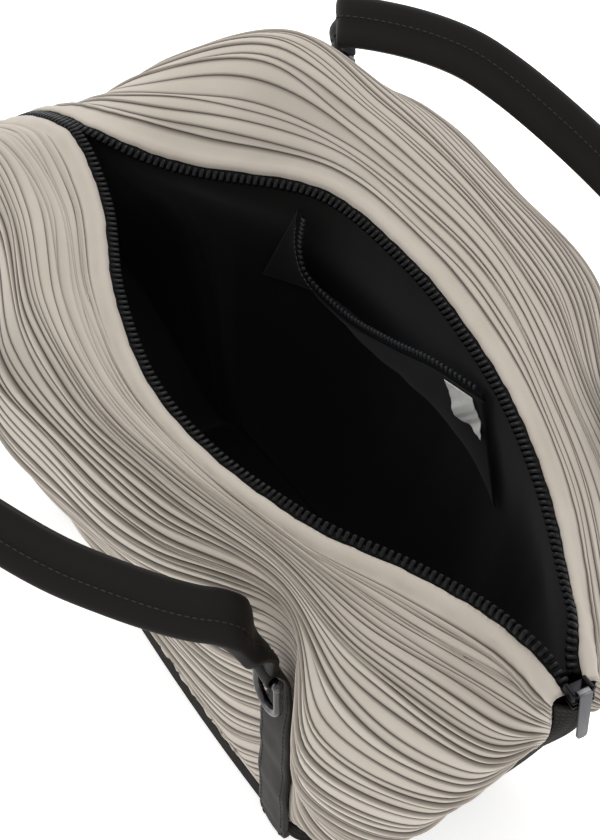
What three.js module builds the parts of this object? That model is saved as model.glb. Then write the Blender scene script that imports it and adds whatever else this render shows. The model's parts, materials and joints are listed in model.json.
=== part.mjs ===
// Pleated bag: an open zip-top bag of pleated cloth on a black canvas base.
// Millimetres, +Z up, +X towards the zip's slider, -Y towards the front panel.
// The origin is the middle of the base's underside.
import * as THREE from 'three';

// Driving sizes of the whole bag
const zipReach = 238;        // middle of the bag to the end of the zip, along X
const bodyReach = 100;       // the length that the panels' outward shares follow
const bagHeight = 190;       // floor to the open zip
const baseLength = 252;      // between the base's corners, along X
const baseWidth = 108;       // between the base's corners, along Y
const baseSideBow = 4;       // how far the long edges bow out
const baseEndBow = 15;       // how far the short ends bow out
const baseCorner = 16;       // length that a rounded corner takes of each edge

// Walls and fits
const baseFloor = 3;
const bandHeight = 11;       // the canvas band that stands round the base
const bandWall = 2.4;
const clothWall = 2;
const pleatDepth = 2.2;
const pleatCount = 10;
const calmShare = 0.2;       // share of the depth left where a tab or a seam holds the pleats
const endCrowding = 0.045;   // how much closer the panels' columns stand at the zip's ends
const gussetWall = 1.8;
const gussetBulge = 7;
const liningWall = 1.2;
const liningEase = 0.25;     // share of the panel's bulge that the lining follows
const seamGap = 0.4;         // clearance between pieces that are sewn together

// Zip
const tapeWidth = 5.5;
const tapeWall = 1;
const toothReach = 2.3;      // half of the closed teeth's width
const toothHeight = 2.4;
const tapeStart = clothWall / 2 + 2 * seamGap;
const toothStart = tapeStart + tapeWidth + seamGap;
const closedHalf = toothStart + toothReach + 0.2;
const openFrom = 0.2;        // share of the zip, from the -X end, that is still shut
const sliderLength = 9;
const sliderWidth = 10;
const sliderBody = 3.6;
const lugHeight = 4.8;
const lugWall = 1.8;
const pullerLength = 27;
const pullerWidth = 5.6;
const pullerWall = 1.2;
const pullerEye = 1.3;       // radius of the puller's rolled eye
const pullerGap = 0.3;

// Leather
const tabWidth = 23;
const tabWall = 3.2;
const tabRise = 104;         // length of a tab above the band
const tabDrop = 7;           // length of a tab over the band
const curlWidth = 12.6;      // width of the tab's top where it curls round the shackle
const curlWall = 1.8;
const tabMargin = 3.5;       // strip beside a tab that its seat takes into account
const handleMargin = 3;
const handleSeat = 15;       // length of handle that is seated on the cloth at once
const coverDepth = 20;       // cloth further than this from a strap's plane doesn't carry it
const handleWidth = 23;
const handleWall = 7.4;
const handleEndWidth = 13;
const handleEndWall = 4.4;
const handleNeck = 10;       // length of the narrow end that rises from a tab's curl

// Shackle
const shackleWidth = 22;
const shackleHeight = 27;
const shackleWire = 4;
const pinEnd = 2.7;          // radius of the pin's rounded ends
const pinGap = 0.4;

// Inner pocket
const pocketDepth = 95;
const pocketWall = 1.2;
const pocketTape = 4;
const labelLength = 30;
const labelWidth = 15;
const labelWall = 0.8;

// A row for each section of a panel from the -X end to the +X end.
// x is a share of zipReach, y of bodyReach, z of bagHeight; foot is a share of half the base.
// Rows with shut = 1 give the closed zip's centre line instead of the panel's own edge.
const frontSections = [
  { shut: 1, zip: [-1.05, -0.19, 0.57], ridge: [-1.03, -0.43, 0.51], shoulder: [-0.94, -0.54, 0.39],
    belly: [-0.77, -0.56, 0.23], foot: -0.99 },
  { shut: 1, zip: [-0.87, -0.16, 0.83], ridge: [-0.91, -0.68, 0.74], shoulder: [-0.87, -0.95, 0.55],
    belly: [-0.73, -0.91, 0.32], foot: -0.975 },
  { shut: 1, zip: [-0.67, -0.12, 0.97], ridge: [-0.70, -0.63, 0.97], shoulder: [-0.68, -0.97, 0.73],
    belly: [-0.59, -0.83, 0.40], foot: -0.95 },
  { shut: 0, zip: [-0.46, -0.30, 0.98], ridge: [-0.47, -0.67, 1.01], shoulder: [-0.46, -0.90, 0.76],
    belly: [-0.46, -0.71, 0.42], foot: -0.83 },
  { shut: 0, zip: [-0.23, -0.51, 0.98], ridge: [-0.23, -0.82, 1.00], shoulder: [-0.23, -1.04, 0.73],
    belly: [-0.21, -0.78, 0.38], foot: -0.42 },
  { shut: 0, zip: [0.00, -0.62, 0.97], ridge: [0.00, -0.84, 0.98], shoulder: [0.01, -0.95, 0.72],
    belly: [0.02, -0.70, 0.37], foot: 0.04 },
  { shut: 0, zip: [0.22, -0.58, 0.97], ridge: [0.23, -0.74, 0.97], shoulder: [0.24, -0.81, 0.73],
    belly: [0.25, -0.61, 0.40], foot: 0.49 },
  { shut: 0, zip: [0.45, -0.43, 0.98], ridge: [0.46, -0.53, 0.94], shoulder: [0.48, -0.50, 0.72],
    belly: [0.48, -0.50, 0.42], foot: 0.88 },
  { shut: 0, zip: [0.64, -0.19, 0.99], ridge: [0.68, -0.45, 0.89], shoulder: [0.67, -0.68, 0.62],
    belly: [0.59, -0.58, 0.29], foot: 0.95 },
  { shut: 0, zip: [0.81, -0.03, 1.00], ridge: [0.88, -0.20, 0.84], shoulder: [0.83, -0.36, 0.55],
    belly: [0.67, -0.45, 0.20], foot: 0.975 },
  { shut: 1, zip: [0.945, 0.11, 0.985], ridge: [0.93, 0.02, 0.84], shoulder: [0.82, -0.02, 0.59],
    belly: [0.64, -0.17, 0.19], foot: 0.99 },
];
const backSections = [
  { shut: 1, zip: [-1.05, -0.19, 0.57], ridge: [-1.04, 0.06, 0.51], shoulder: [-0.96, 0.22, 0.39],
    belly: [-0.79, 0.34, 0.23], foot: -0.99 },
  { shut: 1, zip: [-0.87, -0.16, 0.83], ridge: [-0.93, 0.30, 0.66], shoulder: [-0.92, 0.68, 0.52],
    belly: [-0.79, 0.80, 0.29], foot: -0.975 },
  { shut: 1, zip: [-0.67, -0.12, 0.97], ridge: [-0.74, 0.49, 0.99], shoulder: [-0.75, 0.97, 0.87],
    belly: [-0.67, 1.00, 0.44], foot: -0.95 },
  { shut: 0, zip: [-0.48, 0.23, 1.00], ridge: [-0.52, 0.82, 1.19], shoulder: [-0.54, 0.92, 0.92],
    belly: [-0.49, 0.77, 0.48], foot: -0.83 },
  { shut: 0, zip: [-0.25, 0.64, 1.05], ridge: [-0.29, 0.96, 1.15], shoulder: [-0.29, 1.26, 1.02],
    belly: [-0.28, 1.32, 0.52], foot: -0.42 },
  { shut: 0, zip: [0.01, 0.75, 1.06], ridge: [-0.01, 1.06, 1.11], shoulder: [-0.03, 1.34, 1.01],
    belly: [-0.02, 1.41, 0.51], foot: 0.02 },
  { shut: 0, zip: [0.23, 0.75, 1.05], ridge: [0.22, 1.07, 1.08], shoulder: [0.22, 1.36, 0.97],
    belly: [0.22, 1.36, 0.48], foot: 0.46 },
  { shut: 0, zip: [0.42, 0.69, 1.04], ridge: [0.44, 0.94, 1.04], shoulder: [0.43, 1.12, 0.84],
    belly: [0.43, 0.96, 0.46], foot: 0.83 },
  { shut: 0, zip: [0.62, 0.55, 1.02], ridge: [0.66, 0.83, 0.96], shoulder: [0.65, 1.07, 0.73],
    belly: [0.57, 1.06, 0.37], foot: 0.95 },
  { shut: 0, zip: [0.81, 0.35, 0.99], ridge: [0.86, 0.58, 0.84], shoulder: [0.80, 0.77, 0.59],
    belly: [0.66, 0.81, 0.31], foot: 0.975 },
  { shut: 1, zip: [0.945, 0.11, 0.985], ridge: [0.87, 0.32, 0.83], shoulder: [0.76, 0.59, 0.64],
    belly: [0.64, 0.69, 0.33], foot: 0.99 },
];

// The handles' routes. The first stops are measured from a tab's top: inwards, outwards and upwards in
// mm. The others run to the middle of the arch: x is a share of zipReach, y of bodyReach and z of
// bagHeight. lean is the strap's width direction.
const frontRoute = {
  leave: [
    { by: [3, 7, 20], lean: [0.85, -0.30, -0.35] },
    { by: [7, 15, 31], lean: [0.66, -0.45, -0.60] },
    { by: [18, 38, 42], lean: [0.50, -0.55, -0.66] },
  ],
  stops: [
    { at: [0.26, -1.40, 0.99], lean: [0.30, -0.62, -0.68] },
    { at: [0.00, -1.72, 1.10], lean: [0.00, -0.72, -0.69] },
  ],
};
const backRoute = {
  leave: [
    { by: [-3, 4, 62], lean: [0.95, 0.20, 0.20] },
  ],
  stops: [
    { at: [0.535, 0.98, 1.14], lean: [0.85, 0.35, 0.35] },
    { at: [0.49, 1.10, 1.20], lean: [0.50, 0.60, 0.62] },
    { at: [0.37, 1.46, 1.155], lean: [0.42, 0.64, 0.64] },
    { at: [0.22, 1.68, 1.075], lean: [0.25, 0.70, 0.66] },
    { at: [0.00, 1.82, 1.00], lean: [0.00, 0.72, 0.69] },
  ],
};

// The inner pocket's mouth from its -X end, in the same shares as the handles' stops
const pocketMouth = [
  [-0.272, 0.525, 0.955],
  [-0.280, 0.515, 0.830],
  [-0.238, 0.520, 0.755],
  [-0.100, 0.545, 0.765],
  [0.050, 0.560, 0.840],
  [0.180, 0.590, 0.910],
  [0.305, 0.650, 0.935],
];

const FRONT = { side: -1, sections: frontSections };
const BACK = { side: 1, sections: backSections };

const vec = (x, y, z) => new THREE.Vector3(x, y, z);
const mix = (a, b, share) => a.clone().lerp(b, share);
const smooth = (from, to, value) => THREE.MathUtils.smoothstep(value, from, to);

// A smooth curve through points that are one step apart, at a share of its length
function through(points, share) {
  const last = points.length - 1;
  const place = THREE.MathUtils.clamp(share, 0, 1) * last;
  const index = Math.min(Math.floor(place), last - 1);
  const step = place - index;
  const near = points[index];
  const far = points[index + 1];
  const before = index > 0 ? points[index - 1] : near.clone().multiplyScalar(2).sub(far);
  const after = index < last - 1 ? points[index + 2] : far.clone().multiplyScalar(2).sub(near);
  const bend = (a, b, c, d) => 0.5 * (2 * b + (c - a) * step
    + (2 * a - 5 * b + 4 * c - d) * step ** 2 + (3 * b - a - 3 * c + d) * step ** 3);
  return vec(bend(before.x, near.x, far.x, after.x), bend(before.y, near.y, far.y, after.y),
    bend(before.z, near.z, far.z, after.z));
}

// A point on the base's edge: footShare runs from corner to corner, inset moves it inwards
function baseEdge(side, footShare, inset) {
  const halfLength = baseLength / 2 - inset;
  const halfWidth = baseWidth / 2 - inset;
  const reach = Math.abs(footShare) * halfLength;
  const straight = halfLength - baseCorner;
  if (reach <= straight) {
    const share = (reach / straight + 1) / 2;
    return vec(footShare * halfLength, side * (halfWidth + 4 * baseSideBow * share * (1 - share)), 0);
  }
  const turn = 1 - Math.sqrt((halfLength - reach) / baseCorner);
  return vec(footShare * halfLength, side * (halfWidth - baseCorner * turn ** 2), 0);
}

// The panels' middle surface: along runs from the -X end to the +X end, down from zip to foot
const rowNames = ['zip', 'ridge', 'shoulder', 'belly', 'foot'];
function sectionPoint(panel, section, row) {
  if (row === 'foot') {
    const foot = baseEdge(panel.side, section.foot, bandWall / 2);
    return foot.setZ(bandHeight + seamGap + clothWall / 2);
  }
  const [x, y, z] = section[row];
  const shut = row === 'zip' ? section.shut * panel.side * closedHalf : 0;
  return vec(x * zipReach, y * bodyReach + shut, z * bagHeight);
}
for (const panel of [FRONT, BACK]) {
  panel.rows = rowNames.map((row) => panel.sections.map((section) => sectionPoint(panel, section, row)));
}
// the panel's top edge, kept far enough from the other panel's for the closed zip
function zipEdge(panel, along) {
  const own = through(panel.rows[0], along);
  const other = through((panel === FRONT ? BACK : FRONT).rows[0], along);
  const apart = own.distanceTo(other);
  if (apart >= 2 * closedHalf) return own;
  const middle = mix(own, other, 0.5);
  return middle.addScaledVector(own.sub(other).normalize(), closedHalf);
}
function surface(panel, along, down) {
  const lower = panel.rows.slice(1).map((row) => through(row, along));
  return through([zipEdge(panel, along), ...lower], down);
}
function slopes(panel, along, down) {
  const step = 0.004;
  const lengthwise = surface(panel, Math.min(along + step, 1), down)
    .sub(surface(panel, Math.max(along - step, 0), down)).normalize();
  const downwards = surface(panel, along, Math.min(down + step, 1))
    .sub(surface(panel, along, Math.max(down - step, 0))).normalize();
  const outwards = lengthwise.clone().cross(downwards).multiplyScalar(panel.side).normalize();
  return { lengthwise, downwards, outwards };
}
function raised(panel, along, down, height) {
  return surface(panel, along, down).addScaledVector(slopes(panel, along, down).outwards, height);
}

// The zip's frame along a panel's top edge: across points into the opening, up away from the bag
function zipFrame(panel, along) {
  const other = panel === FRONT ? BACK : FRONT;
  const edge = surface(panel, along, 0);
  const { lengthwise, downwards } = slopes(panel, along, 0);
  const shut = 1 - smooth(openFrom - 0.03, openFrom + 0.08, along) + smooth(0.9, 0.99, along);
  const facing = surface(other, along, 0).sub(edge).normalize();
  const across = downwards.clone().negate().lerp(facing, shut);
  across.addScaledVector(lengthwise, -across.dot(lengthwise)).normalize();
  const up = across.clone().cross(lengthwise).multiplyScalar(panel.side).normalize();
  return { edge, lengthwise, across, up };
}
function besideZip(panel, along, inwards, height) {
  const { edge, across, up } = zipFrame(panel, along);
  return edge.addScaledVector(across, inwards).addScaledVector(up, height);
}

// Closed solids from rows of points
function solid(name, points, triangles, material) {
  let volume = 0;
  for (const [a, b, c] of triangles) volume += points[a].dot(points[b].clone().cross(points[c]));
  const order = volume > 0 ? triangles : triangles.map(([a, b, c]) => [a, c, b]);
  const geometry = new THREE.BufferGeometry();
  geometry.setAttribute('position', new THREE.Float32BufferAttribute(points.flatMap((p) => p.toArray()), 3));
  geometry.setIndex(order.flat());
  geometry.computeVertexNormals();
  const mesh = new THREE.Mesh(geometry, material);
  mesh.name = name;
  return mesh;
}
// rings of equal length; the ends are closed by a fan, or joined to each other for a loop
function loft(name, rings, material, loop = false) {
  const count = rings[0].length;
  const points = rings.flat();
  const triangles = [];
  const last = loop ? rings.length : rings.length - 1;
  for (let ring = 0; ring < last; ring += 1) {
    const next = (ring + 1) % rings.length;
    for (let i = 0; i < count; i += 1) {
      const j = (i + 1) % count;
      triangles.push([ring * count + i, ring * count + j, next * count + j]);
      triangles.push([ring * count + i, next * count + j, next * count + i]);
    }
  }
  if (!loop) {
    for (const ring of [0, rings.length - 1]) {
      const middle = rings[ring].reduce((sum, p) => sum.add(p), vec(0, 0, 0)).divideScalar(count);
      points.push(middle);
      for (let i = 0; i < count; i += 1) {
        const j = (i + 1) % count;
        const fan = [points.length - 1, ring * count + i, ring * count + j];
        triangles.push(ring === 0 ? fan.reverse() : fan);
      }
    }
  }
  return solid(name, points, triangles, material);
}
// a wall between two grids of points, outer and inner, given as rows
function wall(name, outer, inner, material) {
  const rows = outer.length;
  const columns = outer[0].length;
  const rings = [];
  for (let row = 0; row < rows; row += 1) rings.push([...outer[row], ...inner[row].slice().reverse()]);
  const points = rings.flat();
  const around = 2 * columns;
  const triangles = [];
  const quad = (a, b, c, d) => triangles.push([a, b, c], [a, c, d]);
  for (let row = 0; row < rows - 1; row += 1) {
    for (let i = 0; i < around; i += 1) {
      const j = (i + 1) % around;
      quad(row * around + i, row * around + j, (row + 1) * around + j, (row + 1) * around + i);
    }
  }
  for (let i = 0; i < columns - 1; i += 1) {
    const start = (rows - 1) * around;
    quad(i + 1, i, around - 1 - i, around - 2 - i);
    quad(start + i, start + i + 1, start + around - 2 - i, start + around - 1 - i);
  }
  return solid(name, points, triangles, material);
}
const steps = (count, from = 0, to = 1) => Array.from({ length: count + 1 },
  (_, i) => from + (to - from) * i / count);

// Materials
const finish = (color, roughness, metalness = 0) => new THREE.MeshStandardMaterial({
  color, roughness, metalness, side: THREE.DoubleSide });
const pleatedCloth = () => finish(0xcfc7bd, 0.82);
const canvas = () => finish(0x3a3635, 0.9);
const satin = () => finish(0x15161a, 0.55);
const zipCloth = () => finish(0x141416, 0.85);
const moulded = () => finish(0x191a1c, 0.45);
const leather = () => finish(0x2b2826, 0.5);
const gunmetal = () => finish(0x3c3b3d, 0.25, 1);
const steel = () => finish(0x8b8c8e, 0.35, 1);

// The pleats calm down at the end seams and under the tabs, and are flat at the zip and the foot
const tabPlaces = [0.3, 0.7];
function pleatHeight(along, row) {
  const calm = [0, ...tabPlaces, 1].reduce((least, place) => Math.min(least,
    smooth(0.03, 0.09, Math.abs(along - place))), 1);
  return (row % 2) * pleatDepth * THREE.MathUtils.lerp(calmShare, 1, calm);
}
const crowded = (share) => share - endCrowding * Math.sin(2 * Math.PI * share);
function panelFace(panel, height) {
  return steps(2 * pleatCount).map((down, row) => steps(25).map(crowded).map(
    (along) => raised(panel, along, down, height + pleatHeight(along, row))));
}
function pleatedPanel(name, panel) {
  return wall(name, panelFace(panel, clothWall / 2), panelFace(panel, -clothWall / 2), pleatedCloth());
}
// points all over a panel's outer face, for what lies on it
function coverPoints(panel) {
  const face = panelFace(panel, clothWall / 2);
  const points = [];
  for (let row = 1; row < face.length; row += 1) {
    for (let column = 1; column < face[row].length; column += 1) {
      for (const across of steps(6)) {
        const upper = mix(face[row - 1][column - 1], face[row - 1][column], across);
        const lower = mix(face[row][column - 1], face[row][column], across);
        for (const down of [0, 0.5, 1]) points.push(mix(upper, lower, down));
      }
    }
  }
  return points;
}

// Base: a flat floor inside a low band that stands round it
function baseOutline(inset) {
  const halfLength = baseLength / 2 - inset;
  const halfWidth = baseWidth / 2 - inset;
  const outline = new THREE.Shape();
  outline.moveTo(-halfLength + baseCorner, -halfWidth);
  for (const turn of [1, -1]) {
    outline.quadraticCurveTo(0, -turn * (halfWidth + 2 * baseSideBow),
      turn * (halfLength - baseCorner), -turn * halfWidth);
    outline.quadraticCurveTo(turn * halfLength, -turn * halfWidth,
      turn * halfLength, turn * (-halfWidth + baseCorner));
    outline.quadraticCurveTo(turn * (halfLength + 2 * baseEndBow), 0,
      turn * halfLength, turn * (halfWidth - baseCorner));
    outline.quadraticCurveTo(turn * halfLength, turn * halfWidth,
      turn * (halfLength - baseCorner), turn * halfWidth);
  }
  return outline.getPoints(5).slice(0, -1);
}
const baseRing = (inset, height) => baseOutline(inset).map((p) => vec(p.x, p.y, height));
function baseFloorPlate() {
  const inset = bandWall + seamGap;
  return loft('base_floor', [baseRing(inset, 0), baseRing(inset, baseFloor)], canvas());
}
function baseBand() {
  return loft('base_band', [baseRing(0, 0), baseRing(0, bandHeight), baseRing(bandWall, bandHeight),
    baseRing(bandWall, 0)], canvas(), true);
}

// End gussets between the two panels' end seams
function gusset(name, end) {
  const outSign = end === 1 ? 1 : -1;
  const middle = (share, down) => {
    const near = surface(FRONT, end, down);
    const far = surface(BACK, end, down);
    const margin = (clothWall / 2 + calmShare * pleatDepth + 2 * seamGap) / near.distanceTo(far);
    const point = mix(near, far, margin + (1 - 2 * margin) * share);
    const bulge = THREE.MathUtils.lerp(gussetBulge, baseEndBow, down ** 3);
    point.x += outSign * bulge * 4 * share * (1 - share);
    return point;
  };
  const face = (height) => steps(10, 0.07, 1).map((down) => steps(6).map((share) => {
    const step = 0.01;
    const crosswise = middle(Math.min(share + step, 1), down).sub(middle(Math.max(share - step, 0), down));
    const downwards = middle(share, Math.min(down + step, 1)).sub(middle(share, down - step));
    const out = crosswise.cross(downwards).multiplyScalar(outSign).normalize();
    return middle(share, down).addScaledVector(out, height);
  }));
  return wall(name, face(gussetWall / 2), face(-gussetWall / 2), canvas());
}

// Lining: it hangs from the zip's tapes and rests on the base's floor
const liningEnd = 0.04;
function liningPoint(panel, along, down) {
  const top = besideZip(panel, along, tapeStart + 2, -(tapeWall / 2 + 3 * seamGap));
  const footShare = through(panel.sections.map((section) => vec(section.foot, 0, 0)), along).x;
  const inset = bandWall + clothWall / 2 + seamGap + liningWall + 6;
  const bottom = baseEdge(panel.side, footShare, inset).setZ(baseFloor + seamGap);
  const hanging = mix(top, bottom, down);
  return hanging.lerp(surface(panel, along, down), liningEase * Math.sin(Math.PI * down));
}
function liningRing(down) {
  const across = steps(17, liningEnd, 1 - liningEnd);
  const front = across.map((along) => liningPoint(FRONT, along, down));
  const back = across.slice().reverse().map((along) => liningPoint(BACK, along, down));
  return [...front, ...back];
}
function shrunk(ring, distance) {
  return ring.map((point, i) => {
    const next = ring[(i + 1) % ring.length];
    const before = ring[(i + ring.length - 1) % ring.length];
    const tangent = next.clone().sub(before).setZ(0).normalize();
    return point.clone().add(vec(-tangent.y, tangent.x, 0).multiplyScalar(distance));
  });
}
function lining() {
  const heights = steps(7).reverse();
  const outside = heights.map(liningRing);
  const inside = heights.slice().reverse().map((down) => shrunk(liningRing(down), liningWall));
  inside[inside.length - 1].forEach((point) => point.setZ(point.z + liningWall));
  return loft('lining', [...outside, ...inside], satin());
}

// Inner pocket with its own open zip, on the back of the lining
const pocketFrom = 0.33;
const pocketTo = 0.66;
const mouthStops = pocketMouth.map(([x, y, z]) => vec(x * zipReach, y * bodyReach, z * bagHeight));
function pocketPoint(share, depth) {
  const along = pocketFrom + (pocketTo - pocketFrom) * share;
  const top = through(mouthStops, share);
  const foot = liningPoint(BACK, along, pocketDepth / bagHeight);
  foot.y -= liningWall + 6 * seamGap + pocketWall / 2;
  return mix(top, foot, depth).add(vec(0, -3 * Math.sin(Math.PI * share) * Math.sin(Math.PI * depth), 0));
}
function innerPocket() {
  const face = (offset) => steps(6).map((depth) => steps(14).map(
    (share) => pocketPoint(share, depth).add(vec(0, offset, 0))));
  return wall('inner_pocket', face(-pocketWall / 2), face(pocketWall / 2), satin());
}
function pocketZip() {
  const rings = steps(14).map((share) => {
    const edge = pocketPoint(share, 0);
    const ahead = pocketPoint(Math.min(share + 0.02, 1), 0).sub(pocketPoint(Math.max(share - 0.02, 0), 0));
    const upwards = ahead.cross(vec(0, 1, 0)).normalize();
    const corner = (out, up) => edge.clone().add(vec(0, out, 0)).addScaledVector(upwards, up);
    const low = 2 * seamGap;
    return [corner(-0.9, low), corner(0.9, low), corner(0.9, low + pocketTape),
      corner(-0.9, low + pocketTape)];
  });
  return loft('pocket_zip', rings, moulded());
}
function careLabel() {
  const middle = 0.92;
  const half = labelWidth / 2 / (zipReach * 2 * (pocketTo - pocketFrom));
  const depth = labelLength / pocketDepth;
  const clear = pocketWall / 2 + seamGap + labelWall / 2;
  const face = (offset) => steps(5).map((down) => steps(4, -1, 1).map((across) => {
    const point = pocketPoint(middle + across * half + 0.03 * down, 0.02 + down * depth);
    const crumple = 1.4 * down * (1 + Math.sin(5 * down + 2 * across));
    return point.add(vec(0, -clear - crumple + offset, 0));
  }));
  return wall('care_label', face(-labelWall / 2), face(labelWall / 2), finish(0xd9d9d6, 0.8));
}

// Zip tapes and the plain strips that stand for the moulded teeth
const zipSteps = steps(38, 0, 0.985).map(crowded);
function zipStrip(name, panel, from, to, height, material) {
  const rings = zipSteps.map((along) => [
    besideZip(panel, along, from, -height / 2),
    besideZip(panel, along, to, -height / 2),
    besideZip(panel, along, to, height / 2),
    besideZip(panel, along, from, height / 2)]);
  return loft(name, rings, material);
}
const zipTape = (name, panel) => zipStrip(name, panel, tapeStart, tapeStart + tapeWidth, tapeWall,
  zipCloth());
const zipTeeth = (name, panel) => zipStrip(name, panel, toothStart, toothStart + toothReach, toothHeight,
  moulded());

// Slider at the +X end: a body with two lugs that hold the puller's eye
function sliderGroup() {
  const near = besideZip(FRONT, 1, 0, 0);
  const far = besideZip(BACK, 1, 0, 0);
  const group = new THREE.Group();
  const stripEnds = [FRONT, BACK].flatMap((panel) => [tapeStart, toothStart + toothReach].map(
    (inwards) => besideZip(panel, zipSteps[zipSteps.length - 1], inwards, 0).x));
  group.position.copy(mix(near, far, 0.5)).setX(Math.max(...stripEnds) + seamGap);
  const half = sliderWidth / 2;
  const top = sliderBody / 2;
  const section = new THREE.Shape();
  const corners = [[-half, -top], [half, -top], [half, top + lugHeight], [half - lugWall, top + lugHeight],
    [half - lugWall, top], [lugWall - half, top], [lugWall - half, top + lugHeight],
    [-half, top + lugHeight]];
  section.setFromPoints(corners.map(([y, z]) => new THREE.Vector2(y, z)));
  const body = new THREE.Mesh(
    new THREE.ExtrudeGeometry(section, { depth: sliderLength, bevelEnabled: false }), moulded());
  body.name = 'zip_slider';
  body.rotation.set(Math.PI / 2, Math.PI / 2, 0);
  group.add(body);

  const inner = pullerGap + pullerEye;
  const eyeUp = top + pullerGap + inner + pullerWall;
  const blade = new THREE.Shape();
  blade.absarc(0, 0, pullerEye, Math.PI / 2, Math.PI, false);
  blade.lineTo(-pullerEye, -0.1);
  blade.absarc(0, 0, pullerEye, 1.1 * Math.PI, 1.4 * Math.PI, false);
  blade.lineTo(inner, -pullerEye);
  blade.lineTo(inner, -pullerLength);
  blade.lineTo(inner + pullerWall, -pullerLength);
  blade.lineTo(inner + pullerWall, pullerEye - 0.6);
  blade.lineTo(inner + pullerWall - 0.6, pullerEye);
  const pullerDepth = sliderWidth - 2 * lugWall - 2 * pullerGap;
  const puller = new THREE.Mesh(
    new THREE.ExtrudeGeometry(blade, { depth: Math.min(pullerDepth, pullerWidth), bevelEnabled: false,
      curveSegments: 4 }), steel());
  puller.name = 'zip_puller';
  puller.rotation.set(Math.PI / 2, 0, 0);
  puller.position.set(sliderLength - pullerEye, Math.min(pullerDepth, pullerWidth) / 2, eyeUp);
  group.add(puller);
  return group;
}

// Leather tabs: sewn up the panel from the band, with the top curled round the shackle's pin
const curlRadius = shackleWire / 2 + pinGap + curlWall / 2;
const tabStops = 12;
function section(at, wide, out, width, thick) {
  const across = [-1, 0, 1].map((share) => at.clone().addScaledVector(wide, share * width / 2));
  return { across, out, thick };
}
// how far the cover stands out of a plane through at, within reach of it along wide and up
function coverHeight(cover, at, wide, up, out, halfWidth, reach) {
  return cover.reduce((most, point) => {
    const from = point.clone().sub(at);
    const near = Math.abs(from.dot(wide)) < halfWidth && Math.abs(from.dot(up)) < reach;
    return near && Math.abs(from.dot(out)) < coverDepth ? Math.max(most, from.dot(out)) : most;
  }, -coverDepth);
}
function tabClimb(panel, place) {
  const climb = [{ at: surface(panel, place, 1), down: 1 }];
  const pitch = tabRise / tabStops;
  for (let down = 1; down > 0.3 && climb.length <= tabStops; down -= 0.002) {
    const at = surface(panel, place, down);
    if (at.distanceTo(climb[climb.length - 1].at) >= pitch) climb.push({ at, down });
  }
  return climb;
}
function tabParts(panel, place, cover) {
  const climb = tabClimb(panel, place);
  const last = climb.length - 1;
  const sections = climb.map(({ at }, i) => {
    const near = smooth(0.65, 1, i / last);
    const width = THREE.MathUtils.lerp(tabWidth, curlWidth, near);
    const thick = THREE.MathUtils.lerp(tabWall, curlWall, near);
    const up = climb[Math.min(i + 1, last)].at.clone().sub(climb[Math.max(i - 1, 0)].at).normalize();
    const wide = vec(1, 0, 0);
    wide.addScaledVector(up, -wide.dot(up)).normalize();
    const out = up.clone().cross(wide).multiplyScalar(panel.side).normalize();
    const height = coverHeight(cover, at, wide, up, out, width / 2 + tabMargin, tabRise / tabStops);
    return section(at.clone().addScaledVector(out, height + seamGap + thick / 2), wide, out, width, thick);
  });
  const footX = sections[0].across[1].x;
  const bandReach = Math.max(...steps(4, -0.5, 0.5).map((share) => Math.abs(
    baseEdge(panel.side, (footX + share * tabWidth) / (baseLength / 2), 0).y)));
  const flatOut = vec(0, panel.side, 0);
  for (const share of [0, 0.55, 0.8, 0.95, 1]) {
    const width = tabWidth * Math.sqrt(Math.max(1 - (Math.max(share - 0.55, 0) / 0.45) ** 2, 0.06));
    const at = vec(footX, panel.side * (bandReach + seamGap + tabWall / 2), bandHeight - tabDrop * share);
    sections.unshift(section(at, vec(1, 0, 0), flatOut, width, tabWall));
  }
  const top = sections[sections.length - 1];
  const wide = vec(1, 0, 0);
  const up = vec(0, 0, 1);
  const out = flatOut;
  const hanging = sections.filter(({ across }) => across[1].z > top.across[1].z - shackleHeight);
  const tabReach = Math.max(...hanging.map(({ across, thick }) => across[1].dot(out) + thick / 2));
  const above = top.across[1].clone().setZ(top.across[1].z + curlWall);
  const below = above.clone().setZ(above.z - shackleHeight / 2);
  const coverReach = below.dot(out)
    + coverHeight(cover, below, wide, up, out, shackleWidth / 2 + 1, shackleHeight / 2 + 2 * pinEnd);
  const pinReach = Math.max(tabReach, coverReach) + seamGap + pinEnd;
  const pin = above.clone().addScaledVector(out, Math.max(pinReach - above.dot(out), curlRadius));
  for (const turn of steps(8, 0.12, 1.5).map((share) => share * Math.PI)) {
    const spoke = out.clone().multiplyScalar(-Math.cos(turn)).addScaledVector(up, Math.sin(turn));
    sections.push(section(pin.clone().addScaledVector(spoke, curlRadius), wide, spoke.clone().negate(),
      curlWidth, curlWall));
  }
  return { sections, pin, up, out, wide };
}
function strap(name, sections, material) {
  const rings = sections.map(({ across, out, thick }) => {
    const face = (height) => across.map((at) => at.clone().addScaledVector(out, height));
    return [...face(-thick / 2), ...face(thick / 2).reverse()];
  });
  return loft(name, rings, material);
}

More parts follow.
